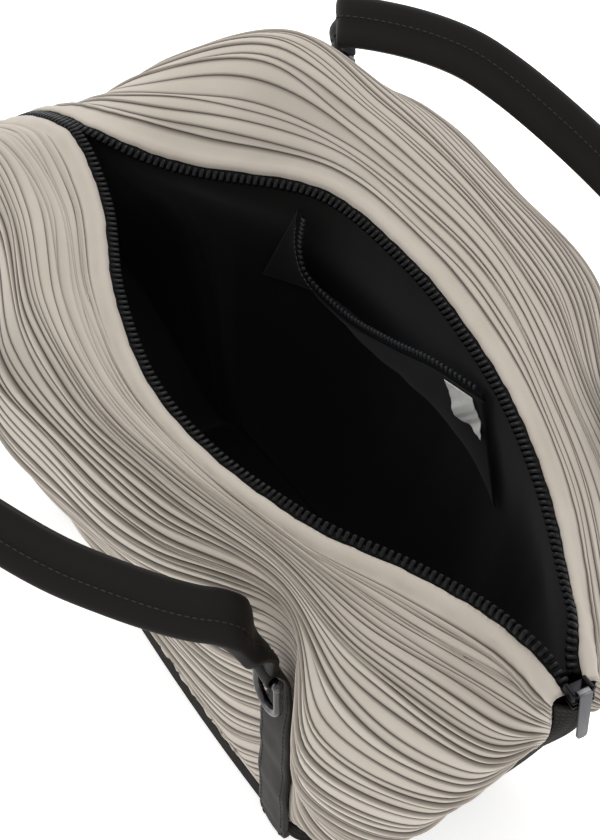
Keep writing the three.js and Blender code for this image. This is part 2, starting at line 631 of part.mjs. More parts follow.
// Shackle: a pin and a bow in one loop of wire, hanging plumb from its pin
function shackle(name, pin, wide) {
  const half = shackleWidth / 2 - shackleWire / 2;
  const drop = shackleHeight - shackleWire - half;
  const stops = [
    ...steps(4, -1, 1).map((share) => ({ x: share * half, z: 0 })),
    { x: half, z: -drop / 2 },
    ...steps(8, 0, 1).map((share) => ({ x: half * Math.cos(Math.PI * share),
      z: -drop - half * Math.sin(Math.PI * share) })),
    { x: -half, z: -drop / 2 },
  ];
  const rings = stops.map((stop, i) => {
    const next = stops[(i + 1) % stops.length];
    const before = stops[(i + stops.length - 1) % stops.length];
    const tangent = vec(next.x - before.x, 0, next.z - before.z).normalize();
    const beside = vec(0, 1, 0);
    const normal = tangent.clone().cross(beside);
    const corner = Math.abs(Math.abs(stop.x) - half) < 0.01 && stop.z === 0;
    const radius = corner ? pinEnd : shackleWire / 2;
    return steps(6).slice(0, -1).map((turn) => vec(stop.x, 0, stop.z)
      .addScaledVector(beside, radius * Math.cos(2 * Math.PI * turn))
      .addScaledVector(normal, radius * Math.sin(2 * Math.PI * turn)));
  });
  const mesh = loft(name, rings, gunmetal(), true);
  mesh.position.copy(pin);
  mesh.rotation.z = Math.atan2(wide.y, wide.x);
  return mesh;
}

// Handles: folded leather straps between the tops of a panel's two tabs
function handleSections(panel, route, tabs, cover) {
  const half = (tab, sign) => {
    const { pin, up, wide } = tab;
    const start = pin.clone().addScaledVector(up, curlRadius + curlWall / 2 + seamGap);
    const turned = ([x, y, z]) => vec(sign * x, y, z);
    const stops = [start, start.clone().addScaledVector(up, handleNeck)]
      .map((at) => ({ at, lean: wide.clone().multiplyScalar(sign) }));
    for (const { by: [inwards, outwards, upwards], lean } of route.leave) {
      stops.push({ at: start.clone().add(vec(-sign * inwards, panel.side * outwards, upwards)),
        lean: turned(lean) });
    }
    for (const stop of route.stops) {
      stops.push({ at: turned(stop.at).multiply(vec(zipReach, bodyReach, bagHeight)),
        lean: turned(stop.lean) });
    }
    return stops;
  };
  const first = half(tabs[0], -1);
  const second = half(tabs[1], 1).slice(0, -1).reverse();
  const stops = [...first, ...second];
  const path = stops.map((stop) => stop.at);
  const leans = stops.map((stop) => stop.lean);
  const neckEnd = 1 / (stops.length - 1);
  return steps(30).map((share) => {
    const at = through(path, share);
    const ahead = through(path, Math.min(share + 0.003, 1)).sub(through(path, Math.max(share - 0.003, 0)));
    ahead.normalize();
    const lean = through(leans, share);
    lean.addScaledVector(ahead, -lean.dot(ahead)).normalize();
    const near = smooth(neckEnd, neckEnd + 0.05, Math.min(share, 1 - share));
    const width = THREE.MathUtils.lerp(handleEndWidth, handleWidth, near);
    const thick = THREE.MathUtils.lerp(handleEndWall, handleWall, near);
    const out = vec(0, panel.side, 0).addScaledVector(ahead, -panel.side * ahead.y);
    out.addScaledVector(lean, -out.dot(lean));
    const facing = smooth(0.5, 0.8, out.length());
    out.normalize();
    const height = coverHeight(cover, at, lean, ahead, out, width / 2 + handleMargin, handleSeat)
      + seamGap + thick / 2;
    if (share > 0 && share < 1) at.addScaledVector(out, facing * Math.max(height, 0));
    return { at, ahead, lean, width, thick };
  });
}
function handle(name, panel, route, tabs, cover) {
  const rings = handleSections(panel, route, tabs, cover).map(({ at, ahead, lean, width, thick }) => {
    const face = ahead.clone().cross(lean).normalize();
    const outline = [[-1, -0.35], [-0.82, -0.9], [0, -1], [0.82, -0.9], [1, -0.35], [1, 0.35],
      [0.82, 0.9], [0, 1], [-0.82, 0.9], [-1, 0.35]];
    return outline.map(([across, out]) => at.clone().addScaledVector(lean, across * width / 2)
      .addScaledVector(face, out * thick / 2));
  });
  return loft(name, rings, leather());
}

const bag = new THREE.Group();
bag.name = 'pleated_bag';
bag.add(baseFloorPlate(), baseBand());
bag.add(gusset('end_gusset_left', 0), gusset('end_gusset_right', 1));
bag.add(pleatedPanel('front_panel', FRONT), pleatedPanel('back_panel', BACK));
bag.add(lining(), innerPocket(), pocketZip(), careLabel());
bag.add(zipTape('zip_tape_front', FRONT), zipTape('zip_tape_back', BACK));
bag.add(zipTeeth('zip_teeth_front', FRONT), zipTeeth('zip_teeth_back', BACK));
bag.add(sliderGroup());
for (const [panelName, panel, route] of [['front', FRONT, frontRoute], ['back', BACK, backRoute]]) {
  const cover = coverPoints(panel);
  const tabs = tabPlaces.map((place) => tabParts(panel, place, cover));
  tabs.forEach((tab, i) => {
    const sideName = ['left', 'right'][i];
    bag.add(strap(`tab_${panelName}_${sideName}`, tab.sections, leather()));
    bag.add(shackle(`shackle_${panelName}_${sideName}`, tab.pin, tab.wide));
  });
  bag.add(handle(`handle_${panelName}`, panel, route, tabs, cover));
}

export default bag;
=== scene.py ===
"""Looks of the pleated bag: crinkle-pleated cloth, canvas base, leather handles, open moulded zip.

Lengths are millimetres until a mesh is written, where they become metres.
"""

import json
import logging
import math
from dataclasses import dataclass, field
from enum import Enum
from typing import Callable, Optional, Sequence

import bmesh
import bpy
import numpy as np
from mathutils import Matrix, Vector


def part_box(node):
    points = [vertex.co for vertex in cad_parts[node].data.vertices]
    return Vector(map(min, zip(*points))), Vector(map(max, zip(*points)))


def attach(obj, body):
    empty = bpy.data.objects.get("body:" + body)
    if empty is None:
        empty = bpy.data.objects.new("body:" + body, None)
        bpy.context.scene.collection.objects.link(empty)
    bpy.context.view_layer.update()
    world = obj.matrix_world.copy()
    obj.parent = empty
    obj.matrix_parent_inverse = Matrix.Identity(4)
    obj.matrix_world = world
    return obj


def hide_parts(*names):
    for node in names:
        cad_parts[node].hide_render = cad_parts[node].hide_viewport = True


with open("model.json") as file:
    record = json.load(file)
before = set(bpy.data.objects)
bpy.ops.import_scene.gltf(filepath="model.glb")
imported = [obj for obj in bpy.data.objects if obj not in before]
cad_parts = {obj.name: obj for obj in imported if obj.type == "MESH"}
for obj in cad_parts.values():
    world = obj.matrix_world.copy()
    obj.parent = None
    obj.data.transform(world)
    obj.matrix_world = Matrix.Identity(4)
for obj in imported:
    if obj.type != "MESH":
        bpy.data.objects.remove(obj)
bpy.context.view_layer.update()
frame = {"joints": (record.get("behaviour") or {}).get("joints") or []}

LOG = logging.getLogger("pleated_bag")
METRE = 1000.0                      # millimetres
TURN = 2 * math.pi
WAVE = 6.2832                       # what a wave texture's scale is divided by
TINY = 1e-6                         # metres; what is less is nothing
INSIDE = (0.0, 0.0, 90.0)           # a point in the bag, which its cloth looks away from
BEHIND_POCKET = (0.0, 150.0, 120.0)
Points = np.ndarray
Placement = Callable[[np.ndarray, np.ndarray], np.ndarray]


class Side(Enum):
    """The bag's two long sides, by the sign of Y that they face."""

    FRONT = -1
    BACK = 1

    @property
    def other(self) -> "Side":
        """The side across the mouth."""
        return Side.BACK if self is Side.FRONT else Side.FRONT


class End(Enum):
    """The zip's two ends, by their share of its length."""

    SHUT = 0
    SLIDER = 1


# Curves and surfaces


def through(points: Points, share: np.ndarray) -> Points:
    """A smooth curve through points that are one step apart.

    Args:
        points: (n, 3) points, or (n, m, 3) with a column for each share.
        share: m places along the curve, 0 to 1.

    Returns:
        m points.
    """
    last = len(points) - 1
    place = np.clip(share, 0, 1) * last
    index = np.minimum(place.astype(int), last - 1)
    step = (place - index)[:, None]
    ends = (2 * points[:1] - points[1:2], points, 2 * points[-1:] - points[-2:-1])
    padded = np.concatenate(ends)
    column = np.arange(len(share))
    if points.ndim == 2:
        a, b, c, d = (padded[index + k] for k in range(4))
    else:
        a, b, c, d = (padded[index + k, column] for k in range(4))
    return 0.5 * (2 * b + (c - a) * step + (2 * a - 5 * b + 4 * c - d) * step**2
                  + (3 * b - a - 3 * c + d) * step**3)


def smooth(low: float, high: float, value: np.ndarray | float) -> np.ndarray:
    """A soft step from 0 at low to 1 at high."""
    share = np.clip((np.asarray(value, float) - low) / (high - low), 0, 1)
    return share * share * (3 - 2 * share)


def unit(vectors: Points) -> Points:
    """The vectors at length one."""
    length = np.linalg.norm(vectors, axis=-1, keepdims=True)
    return vectors / np.maximum(length, 1e-9)


def vec(x: float, y: float, z: float) -> Points:
    """One point or direction."""
    return np.array([x, y, z], float)


def dot(a: Points, b: Points) -> np.ndarray:
    """Row by row dot product, as a column."""
    return np.sum(a * b, axis=-1, keepdims=True)


def wander(where: np.ndarray, seed: float, waves: int = 4) -> np.ndarray:
    """A slow, repeatable wave of about -1 to 1.

    Args:
        where: the places, in waves' lengths.
        seed: picks one wave of many.
        waves: how many sines are added.

    Returns:
        The wave's height at each place.
    """
    total = np.zeros_like(np.asarray(where, float))
    for k in range(waves):
        pace = 1.0 + 0.83 * k
        total += np.sin(TURN * pace * where + seed * (3.1 + 1.7 * k) + k * k) / (1 + 0.6 * k)
    return total / 2.0


def travelled(path: Points) -> np.ndarray:
    """The distance gone at each point of a path."""
    return np.concatenate([[0], np.cumsum(np.linalg.norm(np.diff(path, axis=0), axis=1))])


def at_distance(path: Points, far: np.ndarray, at: np.ndarray | float) -> Points:
    """The path's own points, or directions kept beside them, at distances along it."""
    return np.stack([np.interp(at, far, path[:, k]) for k in range(3)], axis=-1)


# Mesh making


def to_mesh(bm: bmesh.types.BMesh, name: str) -> bpy.types.Object:
    """Turns a finished bmesh into an object at the origin, smooth shaded.

    Args:
        bm: the bmesh, which is freed.
        name: the piece's name.

    Returns:
        The piece.
    """
    for face in bm.faces:
        face.smooth = True
    mesh = bpy.data.meshes.new(name)
    bm.to_mesh(mesh)
    bm.free()
    obj = bpy.data.objects.new(name, mesh)
    bpy.context.scene.collection.objects.link(obj)
    return obj


def mapped_grid(bm: bmesh.types.BMesh, columns: int, rows: int, place: Placement,
                cloth_size: tuple[float, float] = (1.0, 1.0)) -> list[bmesh.types.BMVert]:
    """Adds a grid whose points are carried to where the real surface lies.

    Args:
        bm: the bmesh to add to.
        columns: faces along the grid.
        rows: faces across the grid.
        place: gives the points in millimetres from the shares along and across.
        cloth_size: real length and width in millimetres, for the UV map.

    Returns:
        The new vertices.
    """
    made = bmesh.ops.create_grid(bm, x_segments=columns, y_segments=rows, size=1.0)["verts"]
    flat = np.array([v.co for v in made])
    low, high = flat.min(0), flat.max(0)
    along = (flat[:, 0] - low[0]) / (high[0] - low[0])
    across = (flat[:, 1] - low[1]) / (high[1] - low[1])
    layer = bm.loops.layers.uv.verify()
    wide, tall = cloth_size
    for vert, u, v in zip(made, along * wide / METRE, across * tall / METRE):
        for loop in vert.link_loops:
            loop[layer].uv = (u, v)
    for vert, point in zip(made, place(along, across) / METRE):
        vert.co = point
    return made


def tube(bm: bmesh.types.BMesh, rings: Points, closed: bool = False) -> None:
    """Adds a tube through equal rings of points, given in millimetres.

    Args:
        bm: the bmesh to add to.
        rings: (n, k, 3) points.
        closed: joins the last ring to the first; otherwise both ends get a cap.
    """
    path = np.concatenate([rings, rings[:1]]) if closed else rings
    loop = np.concatenate([path, path[:, :1]], axis=1)
    rows, columns = loop.shape[0] - 1, loop.shape[1] - 1
    length = float(np.linalg.norm(np.diff(path.mean(1), axis=0), axis=1).sum())
    girth = float(np.linalg.norm(np.diff(loop[rows // 2], axis=0), axis=1).sum())

    def place(along: np.ndarray, across: np.ndarray) -> Points:
        """The ring's point at each corner of the grid."""
        return loop[np.rint(along * rows).astype(int), np.rint(across * columns).astype(int)]

    made = mapped_grid(bm, rows, columns, place, (length, girth))
    bmesh.ops.remove_doubles(bm, verts=made, dist=TINY)
    rims = [edge for edge in bm.edges if edge.is_boundary]
    if rims and not closed:
        bmesh.ops.holes_fill(bm, edges=rims, sides=0)
    bmesh.ops.recalc_face_normals(bm, faces=bm.faces)


def look_away(bm: bmesh.types.BMesh, point: Sequence[float]) -> None:
    """Turns an open sheet's faces so that on the whole they look away from a point.

    Args:
        bm: the bmesh.
        point: the point, in millimetres.
    """
    centre = Vector(point) / METRE
    score = sum(f.normal.dot(f.calc_center_median() - centre) for f in bm.faces)
    if score < 0:
        bmesh.ops.reverse_faces(bm, faces=bm.faces)


def thicken(obj: bpy.types.Object, wall: float, offset: float = -1.0) -> None:
    """Gives a sheet its wall by a Solidify modifier.

    Args:
        obj: the sheet.
        wall: the wall, in millimetres.
        offset: -1 where the wall grows inwards, 0 both ways and 1 outwards.
    """
    made = obj.modifiers.new("wall", "SOLIDIFY")
    made.thickness = wall / METRE
    made.offset = offset
    made.use_even_offset = False


def dress(obj: bpy.types.Object, material: bpy.types.Material, slot: str, body: str,
          *stands_for: str) -> bpy.types.Object:
    """Gives a piece its finish, its body and the solids that it stands for.

    Args:
        obj: the piece.
        material: its finish.
        slot: the record's material slot; not used.
        body: the body that it rides on.
        stands_for: names of the solids that it replaces.

    Returns:
        The piece.
    """
    obj.data.materials.clear()
    obj.data.materials.append(material)
    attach(obj, body)
    if stands_for:
        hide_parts(*stands_for)
    LOG.info("%s: %d faces", obj.name, len(obj.data.polygons))
    return obj


# Finishes


def linear(code: str) -> tuple[float, float, float, float]:
    """Turns an sRGB hex colour to linear light.

    Args:
        code: the colour, such as #C4BBB0.

    Returns:
        Red, green, blue and an alpha of 1.
    """
    parts = [int(code[i:i + 2], 16) / 255 for i in (1, 3, 5)]
    light = [p / 12.92 if p <= 0.04045 else ((p + 0.055) / 1.055) ** 2.4 for p in parts]
    return (light[0], light[1], light[2], 1.0)


def add(tree: bpy.types.NodeTree, kind: str, settings: Optional[dict] = None,
        **inputs: object) -> bpy.types.Node:
    """Adds a node with its settings and inputs.

    Args:
        tree: the material's node tree.
        kind: the node's type.
        settings: properties of the node itself.
        inputs: socket names, with _ for a space or n and a number, to a value or an output socket.

    Returns:
        The node.
    """
    node = tree.nodes.new(kind)
    for key, value in (settings or {}).items():
        setattr(node, key, value)
    for key, value in inputs.items():
        numbered = key[0] == "n" and key[1:].isdigit()
        socket = node.inputs[int(key[1:]) if numbered else key.replace("_", " ")]
        if isinstance(value, bpy.types.NodeSocket):
            tree.links.new(value, socket)
        else:
            socket.default_value = value
    return node


def blank(name: str) -> tuple[bpy.types.Material, bpy.types.NodeTree]:
    """Makes a material with an empty node tree.

    Args:
        name: the real material and how its surface was made.

    Returns:
        The material and its tree.
    """
    made = bpy.data.materials.new(name)
    made.use_nodes = True
    made.node_tree.nodes.clear()
    return made, made.node_tree


def close_shader(tree: bpy.types.NodeTree, **inputs: object) -> bpy.types.Node:
    """Adds the Principled shader and the output.

    Args:
        tree: the material's node tree.
        inputs: the shader's inputs, as add takes them.

    Returns:
        The shader.
    """
    shader = add(tree, "ShaderNodeBsdfPrincipled", None, **inputs)
    add(tree, "ShaderNodeOutputMaterial", None, Surface=shader.outputs["BSDF"])
    return shader


def tinted(tree: bpy.types.NodeTree, share: bpy.types.NodeSocket, first: str,
           second: str) -> bpy.types.NodeSocket:
    """Mixes two colours.

    Args:
        tree: the material's node tree.
        share: how much of the second colour shows.
        first: an sRGB hex colour.
        second: an sRGB hex colour.

    Returns:
        The mixed colour's socket.
    """
    mix = add(tree, "ShaderNodeMix", {"data_type": "RGBA"}, Factor=share, n6=linear(first),
              n7=linear(second))
    return mix.outputs[2]


def thread_scale(thread: float) -> float:
    """A wave texture's scale for a thread in millimetres, drawn two to four times as wide to show."""
    return METRE / thread / WAVE


@dataclass(frozen=True)
class PleatedCloth:
    """Polyester plain weave, heat-set in crinkle pleats: matt, with painted shade as dark lines where the
    folds close.
    """

    lit: str = "#C4BBB0"
    warm: str = "#B6AC9F"
    # Painted shade: the colour that the folds' roots darken towards, where shadow falls.
    crease: str = "#352B24"
    thread: float = 0.45      # mm, coarser than the real 0.15
    clouds: float = 38.0      # in a metre: patches of about 26 mm, warmer and paler
    fibres: float = 900.0     # in a metre: crinkles of about 1.1 mm across the thread
    shade_falloff: float = 1.6     # above 1, the painted shade keeps to the folds' roots

    def material(self) -> bpy.types.Material:
        """Builds the material; a vertex attribute paints shade into the folds' roots.

        Returns:
            The material.
        """
        made, tree = blank("pleated_polyester_cloth")
        place = add(tree, "ShaderNodeTexCoord").outputs["Object"]
        # Painted shade: the attribute darkens the cloth in the folds' roots, where shadow falls.
        crease = add(tree, "ShaderNodeAttribute", {"attribute_name": "crease"}).outputs["Fac"]
        mottle = add(tree, "ShaderNodeTexNoise", None, Vector=place, Scale=self.clouds, Detail=4.0)
        base = tinted(tree, mottle.outputs["Fac"], self.lit, self.warm)
        line = add(tree, "ShaderNodeMath", {"operation": "POWER"}, n0=crease, n1=self.shade_falloff)
        dark = add(tree, "ShaderNodeMix", {"data_type": "RGBA"}, Factor=line.outputs[0], n6=base,
                   n7=linear(self.crease))
        uv = add(tree, "ShaderNodeUVMap").outputs["UV"]
        weft = add(tree, "ShaderNodeTexWave", {"bands_direction": "X"}, Vector=uv,
                   Scale=thread_scale(self.thread), Distortion=1.5, Detail=1.0)
        fibre = add(tree, "ShaderNodeTexNoise", None, Vector=place, Scale=self.fibres, Detail=2.0)
        weave = add(tree, "ShaderNodeMix", {"data_type": "FLOAT"}, Factor=0.5,
                    n2=weft.outputs["Fac"], n3=fibre.outputs["Fac"])
        bump = add(tree, "ShaderNodeBump", None, Strength=0.16, Distance=0.0003,
                   Height=weave.outputs[0])
        close_shader(tree, Base_Color=dark.outputs[2], Roughness=0.84, Sheen_Weight=0.18,
                     Sheen_Roughness=0.5, Normal=bump.outputs["Normal"], IOR=1.5)
        return made


@dataclass(frozen=True)
class WovenCloth:
    """Plain weave or satin: canvas, zip tape, lining or label, by its thread and its gloss."""

    name: str
    colour: str
    lighter: str
    thread: float             # mm
    roughness: float
    depth: float              # share of the bump that shows
    sheen: float = 0.0
    clouds: float = 55.0      # in a metre: uneven patches of about 18 mm

    def _threads(self, tree: bpy.types.NodeTree, place: bpy.types.NodeSocket) -> bpy.types.NodeSocket:
        """One set of threads, as a wave across them."""
        wave = add(tree, "ShaderNodeTexWave", {"bands_direction": "DIAGONAL"}, Vector=place,
                   Scale=thread_scale(self.thread), Distortion=0.6, Detail=1.0)
        return wave.outputs["Fac"]

    def material(self) -> bpy.types.Material:
        """Builds the material from two sets of threads, a quarter turn apart seen from above.

        Returns:
            The material.
        """
        made, tree = blank(self.name)
        place = add(tree, "ShaderNodeTexCoord").outputs["Object"]
        warp = self._threads(tree, place)
        turned = add(tree, "ShaderNodeMapping", None, Vector=place, Rotation=(0.0, 0.0, 1.5708))
        weft = self._threads(tree, turned.outputs["Vector"])
        cross = add(tree, "ShaderNodeMath", {"operation": "MULTIPLY"}, n0=warp, n1=weft)
        cloud = add(tree, "ShaderNodeTexNoise", None, Vector=place, Scale=self.clouds, Detail=5.0)
        level = add(tree, "ShaderNodeMath", {"operation": "MULTIPLY"}, n0=cross.outputs[0],
                    n1=cloud.outputs["Fac"])
        tint = tinted(tree, level.outputs[0], self.colour, self.lighter)
        bump = add(tree, "ShaderNodeBump", None, Strength=self.depth, Distance=0.0004,
                   Height=cross.outputs[0])
        close_shader(tree, Base_Color=tint, Roughness=self.roughness,
                     Sheen_Weight=self.sheen, Normal=bump.outputs["Normal"], IOR=1.3)
        return made


@dataclass(frozen=True)
class CalfLeather:
    """Calf leather, dyed through and finished smooth: fine grain, worn a little paler at edges."""

    colour: str = "#151211"
    worn: str = "#2A2623"
    grain: float = 0.8        # mm between pores, drawn at about twice the real size
    scuffs: float = 60.0      # in a metre: rubbed patches of about 17 mm
    pointed: float = 0.58     # an edge's pointedness where the wear is full; flat leather has 0.5

    def material(self) -> bpy.types.Material:
        """Builds the material from cells for the grain and noise for the wear.

        Returns:
            The material.
        """
        made, tree = blank("calf_leather_smooth")
        place = add(tree, "ShaderNodeTexCoord").outputs["Object"]
        cells = add(tree, "ShaderNodeTexVoronoi", {"feature": "DISTANCE_TO_EDGE"}, Vector=place,
                    Scale=METRE / self.grain)
        broad = add(tree, "ShaderNodeTexNoise", None, Vector=place, Scale=self.scuffs, Detail=6.0)
        edge = add(tree, "ShaderNodeNewGeometry").outputs["Pointiness"]
        rim = add(tree, "ShaderNodeMapRange", None, Value=edge, From_Min=0.5, From_Max=self.pointed)
        wear = add(tree, "ShaderNodeMath", {"operation": "MULTIPLY"}, n0=rim.outputs[0],
                   n1=broad.outputs["Fac"])
        tint = tinted(tree, wear.outputs[0], self.colour, self.worn)
        gloss = add(tree, "ShaderNodeMapRange", None, Value=broad.outputs["Fac"], From_Min=0.3,
                    From_Max=0.7, To_Min=0.46, To_Max=0.6)
        pores = add(tree, "ShaderNodeBump", None, Strength=0.22, Distance=0.0002,
                    Height=cells.outputs["Distance"])
        bump = add(tree, "ShaderNodeBump", None, Strength=0.25, Distance=0.0008,
                   Height=broad.outputs["Fac"], Normal=pores.outputs["Normal"])
        close_shader(tree, Base_Color=tint, Roughness=gloss.outputs[0],
                     Normal=bump.outputs["Normal"], IOR=1.27)
        return made


@dataclass(frozen=True)
class PlatedMetal:
    """Zinc casting or steel plate with dark nickel plating: polished, with fine handling marks."""

    name: str
    colour: str
    roughness: float
    marks: float = 260.0      # in a metre: handling marks of about 4 mm

    def material(self) -> bpy.types.Material:
        """Builds the material; noise varies the gloss as handling does.

        Returns:
            The material.
        """
        made, tree = blank(self.name)
        place = add(tree, "ShaderNodeTexCoord").outputs["Object"]
        marks = add(tree, "ShaderNodeTexNoise", None, Vector=place, Scale=self.marks, Detail=5.0)
        gloss = add(tree, "ShaderNodeMapRange", None, Value=marks.outputs["Fac"],
                    To_Min=self.roughness - 0.06, To_Max=self.roughness + 0.12)
        bump = add(tree, "ShaderNodeBump", None, Strength=0.08, Distance=0.0002,
                   Height=marks.outputs["Fac"])
        close_shader(tree, Base_Color=linear(self.colour), Metallic=1.0,
                     Roughness=gloss.outputs[0], Normal=bump.outputs["Normal"])
        return made


@dataclass(frozen=True)
class MouldedAcetal:
    """Injection-moulded acetal: dense, half glossy, with slight flow marks."""

    name: str
    colour: str
    roughness: float
    flow: float = 420.0       # in a metre: flow marks of about 2.4 mm

    def material(self) -> bpy.types.Material:
        """Builds the material; faint noise breaks the highlights up.

        Returns:
            The material.
        """
        made, tree = blank(self.name)
        place = add(tree, "ShaderNodeTexCoord").outputs["Object"]
        flow = add(tree, "ShaderNodeTexNoise", None, Vector=place, Scale=self.flow, Detail=3.0)
        gloss = add(tree, "ShaderNodeMapRange", None, Value=flow.outputs["Fac"],
                    To_Min=self.roughness - 0.05, To_Max=self.roughness + 0.1)
        bump = add(tree, "ShaderNodeBump", None, Strength=0.08, Distance=0.0002,
                   Height=flow.outputs["Fac"])
        close_shader(tree, Base_Color=linear(self.colour), Roughness=gloss.outputs[0],
                     Normal=bump.outputs["Normal"], IOR=1.3)
        return made


@dataclass(frozen=True)
class WaxedThread:
    """Twisted polyester sewing thread: matt, with a twist that shows as fine slanted lines."""

    name: str
    colour: str
    twist: float = 0.5        # mm

    def material(self) -> bpy.types.Material:
        """Builds the material with a slanted twist.

        Returns:
            The material.
        """
        made, tree = blank(self.name)
        place = add(tree, "ShaderNodeTexCoord").outputs["Object"]
        twist = add(tree, "ShaderNodeTexWave", {"bands_direction": "DIAGONAL"}, Vector=place,
                    Scale=thread_scale(self.twist))
        bump = add(tree, "ShaderNodeBump", None, Strength=0.3, Distance=0.0002,
                   Height=twist.outputs["Fac"])
        close_shader(tree, Base_Color=linear(self.colour), Roughness=0.7,
                     Normal=bump.outputs["Normal"], IOR=1.5)
        return made


CLOTH = PleatedCloth()
CANVAS = WovenCloth("cotton_canvas_woven", "#181615", "#3A3633", 0.85, 0.95, 0.5)
SATIN = WovenCloth("polyester_satin_woven", "#131312", "#1C1C1A", 0.4, 0.66, 0.06, 0.08)
TAPE = WovenCloth("polyester_zip_tape_woven", "#0A0A0B", "#171718", 0.7, 0.92, 0.3)
LABEL = WovenCloth("satin_label_woven", "#E6E5E0", "#FFFFFF", 0.5, 0.55, 0.12)
LEATHER = CalfLeather()
GUNMETAL = PlatedMetal("gunmetal_plated_zinc", "#4B4A4C", 0.24)
NICKEL = PlatedMetal("dark_nickel_plated_steel", "#5E5E60", 0.36)
PAINTED_ZINC = PlatedMetal("black_painted_zinc", "#1C1C1E", 0.3)
TEETH = MouldedAcetal("acetal_zip_teeth_moulded", "#070708", 0.42)
POCKET_TEETH = MouldedAcetal("acetal_pocket_zip_teeth_moulded", "#3A3C3F", 0.4)
BLACK_THREAD = WaxedThread("waxed_thread_black", "#1E1C1B")
GREY_THREAD = WaxedThread("waxed_thread_grey", "#6C6C6A")


# The bag's form


@dataclass(frozen=True)
class Section:
    """One section of a panel: shares of the bag's sizes from the zip down to the foot.

    Each point is an x share of the zip's reach, a y share of the body's and a z share of the
    height. shut rows give the closed zip's centre line; foot is a share of half the base.
    """

    shut: int
    zip: tuple[float, float, float]
    ridge: tuple[float, float, float]
    shoulder: tuple[float, float, float]
    belly: tuple[float, float, float]
    foot: float


FRONT_SECTIONS = (
    Section(1, (-1.05, -0.19, 0.57), (-1.03, -0.43, 0.51), (-0.94, -0.54, 0.39),
            (-0.77, -0.56, 0.23), -0.99),
    Section(1, (-0.87, -0.16, 0.83), (-0.91, -0.68, 0.74), (-0.87, -0.95, 0.55),
            (-0.73, -0.91, 0.32), -0.975),
    Section(1, (-0.67, -0.12, 0.97), (-0.70, -0.63, 0.97), (-0.68, -0.97, 0.73),
            (-0.59, -0.83, 0.40), -0.95),
    Section(0, (-0.46, -0.30, 0.98), (-0.47, -0.67, 1.01), (-0.46, -0.90, 0.76),
            (-0.46, -0.71, 0.42), -0.83),
    Section(0, (-0.23, -0.51, 0.98), (-0.23, -0.82, 1.00), (-0.23, -1.04, 0.73),
            (-0.21, -0.78, 0.38), -0.42),
    Section(0, (0.00, -0.62, 0.97), (0.00, -0.84, 0.98), (0.01, -0.95, 0.72),
            (0.02, -0.70, 0.37), 0.04),
    Section(0, (0.22, -0.58, 0.97), (0.23, -0.74, 0.97), (0.24, -0.81, 0.73),
            (0.25, -0.61, 0.40), 0.49),
    Section(0, (0.45, -0.43, 0.98), (0.46, -0.53, 0.94), (0.48, -0.50, 0.72),
            (0.48, -0.50, 0.42), 0.88),
    Section(0, (0.64, -0.19, 0.99), (0.68, -0.45, 0.89), (0.67, -0.68, 0.62),
            (0.59, -0.58, 0.29), 0.95),
    Section(0, (0.81, -0.03, 1.00), (0.88, -0.20, 0.84), (0.83, -0.36, 0.55),
            (0.67, -0.45, 0.20), 0.975),
    Section(1, (0.945, 0.11, 0.985), (0.93, 0.02, 0.84), (0.82, -0.02, 0.59),
            (0.64, -0.17, 0.19), 0.99),
)
BACK_SECTIONS = (
    Section(1, (-1.05, -0.19, 0.57), (-1.04, 0.06, 0.51), (-0.96, 0.22, 0.39),
            (-0.79, 0.34, 0.23), -0.99),
    Section(1, (-0.87, -0.16, 0.83), (-0.93, 0.30, 0.66), (-0.92, 0.68, 0.52),
            (-0.79, 0.80, 0.29), -0.975),
    Section(1, (-0.67, -0.12, 0.97), (-0.74, 0.49, 0.99), (-0.75, 0.97, 0.87),
            (-0.67, 1.00, 0.44), -0.95),
    Section(0, (-0.48, 0.23, 1.00), (-0.52, 0.82, 1.19), (-0.54, 0.92, 0.92),
            (-0.49, 0.77, 0.48), -0.83),
    Section(0, (-0.25, 0.64, 1.05), (-0.29, 0.96, 1.15), (-0.29, 1.26, 1.02),
            (-0.28, 1.32, 0.52), -0.42),
    Section(0, (0.01, 0.75, 1.06), (-0.01, 1.06, 1.11), (-0.03, 1.34, 1.01),
            (-0.02, 1.41, 0.51), 0.02),
    Section(0, (0.23, 0.75, 1.05), (0.22, 1.07, 1.08), (0.22, 1.36, 0.97),
            (0.22, 1.36, 0.48), 0.46),
    Section(0, (0.42, 0.69, 1.04), (0.44, 0.94, 1.04), (0.43, 1.12, 0.84),
            (0.43, 0.96, 0.46), 0.83),
    Section(0, (0.62, 0.55, 1.02), (0.66, 0.83, 0.96), (0.65, 1.07, 0.73),
            (0.57, 1.06, 0.37), 0.95),
    Section(0, (0.81, 0.35, 0.99), (0.86, 0.58, 0.84), (0.80, 0.77, 0.59),
            (0.66, 0.81, 0.31), 0.975),
    Section(1, (0.945, 0.11, 0.985), (0.87, 0.32, 0.83), (0.76, 0.59, 0.64),
            (0.64, 0.69, 0.33), 0.99),
)


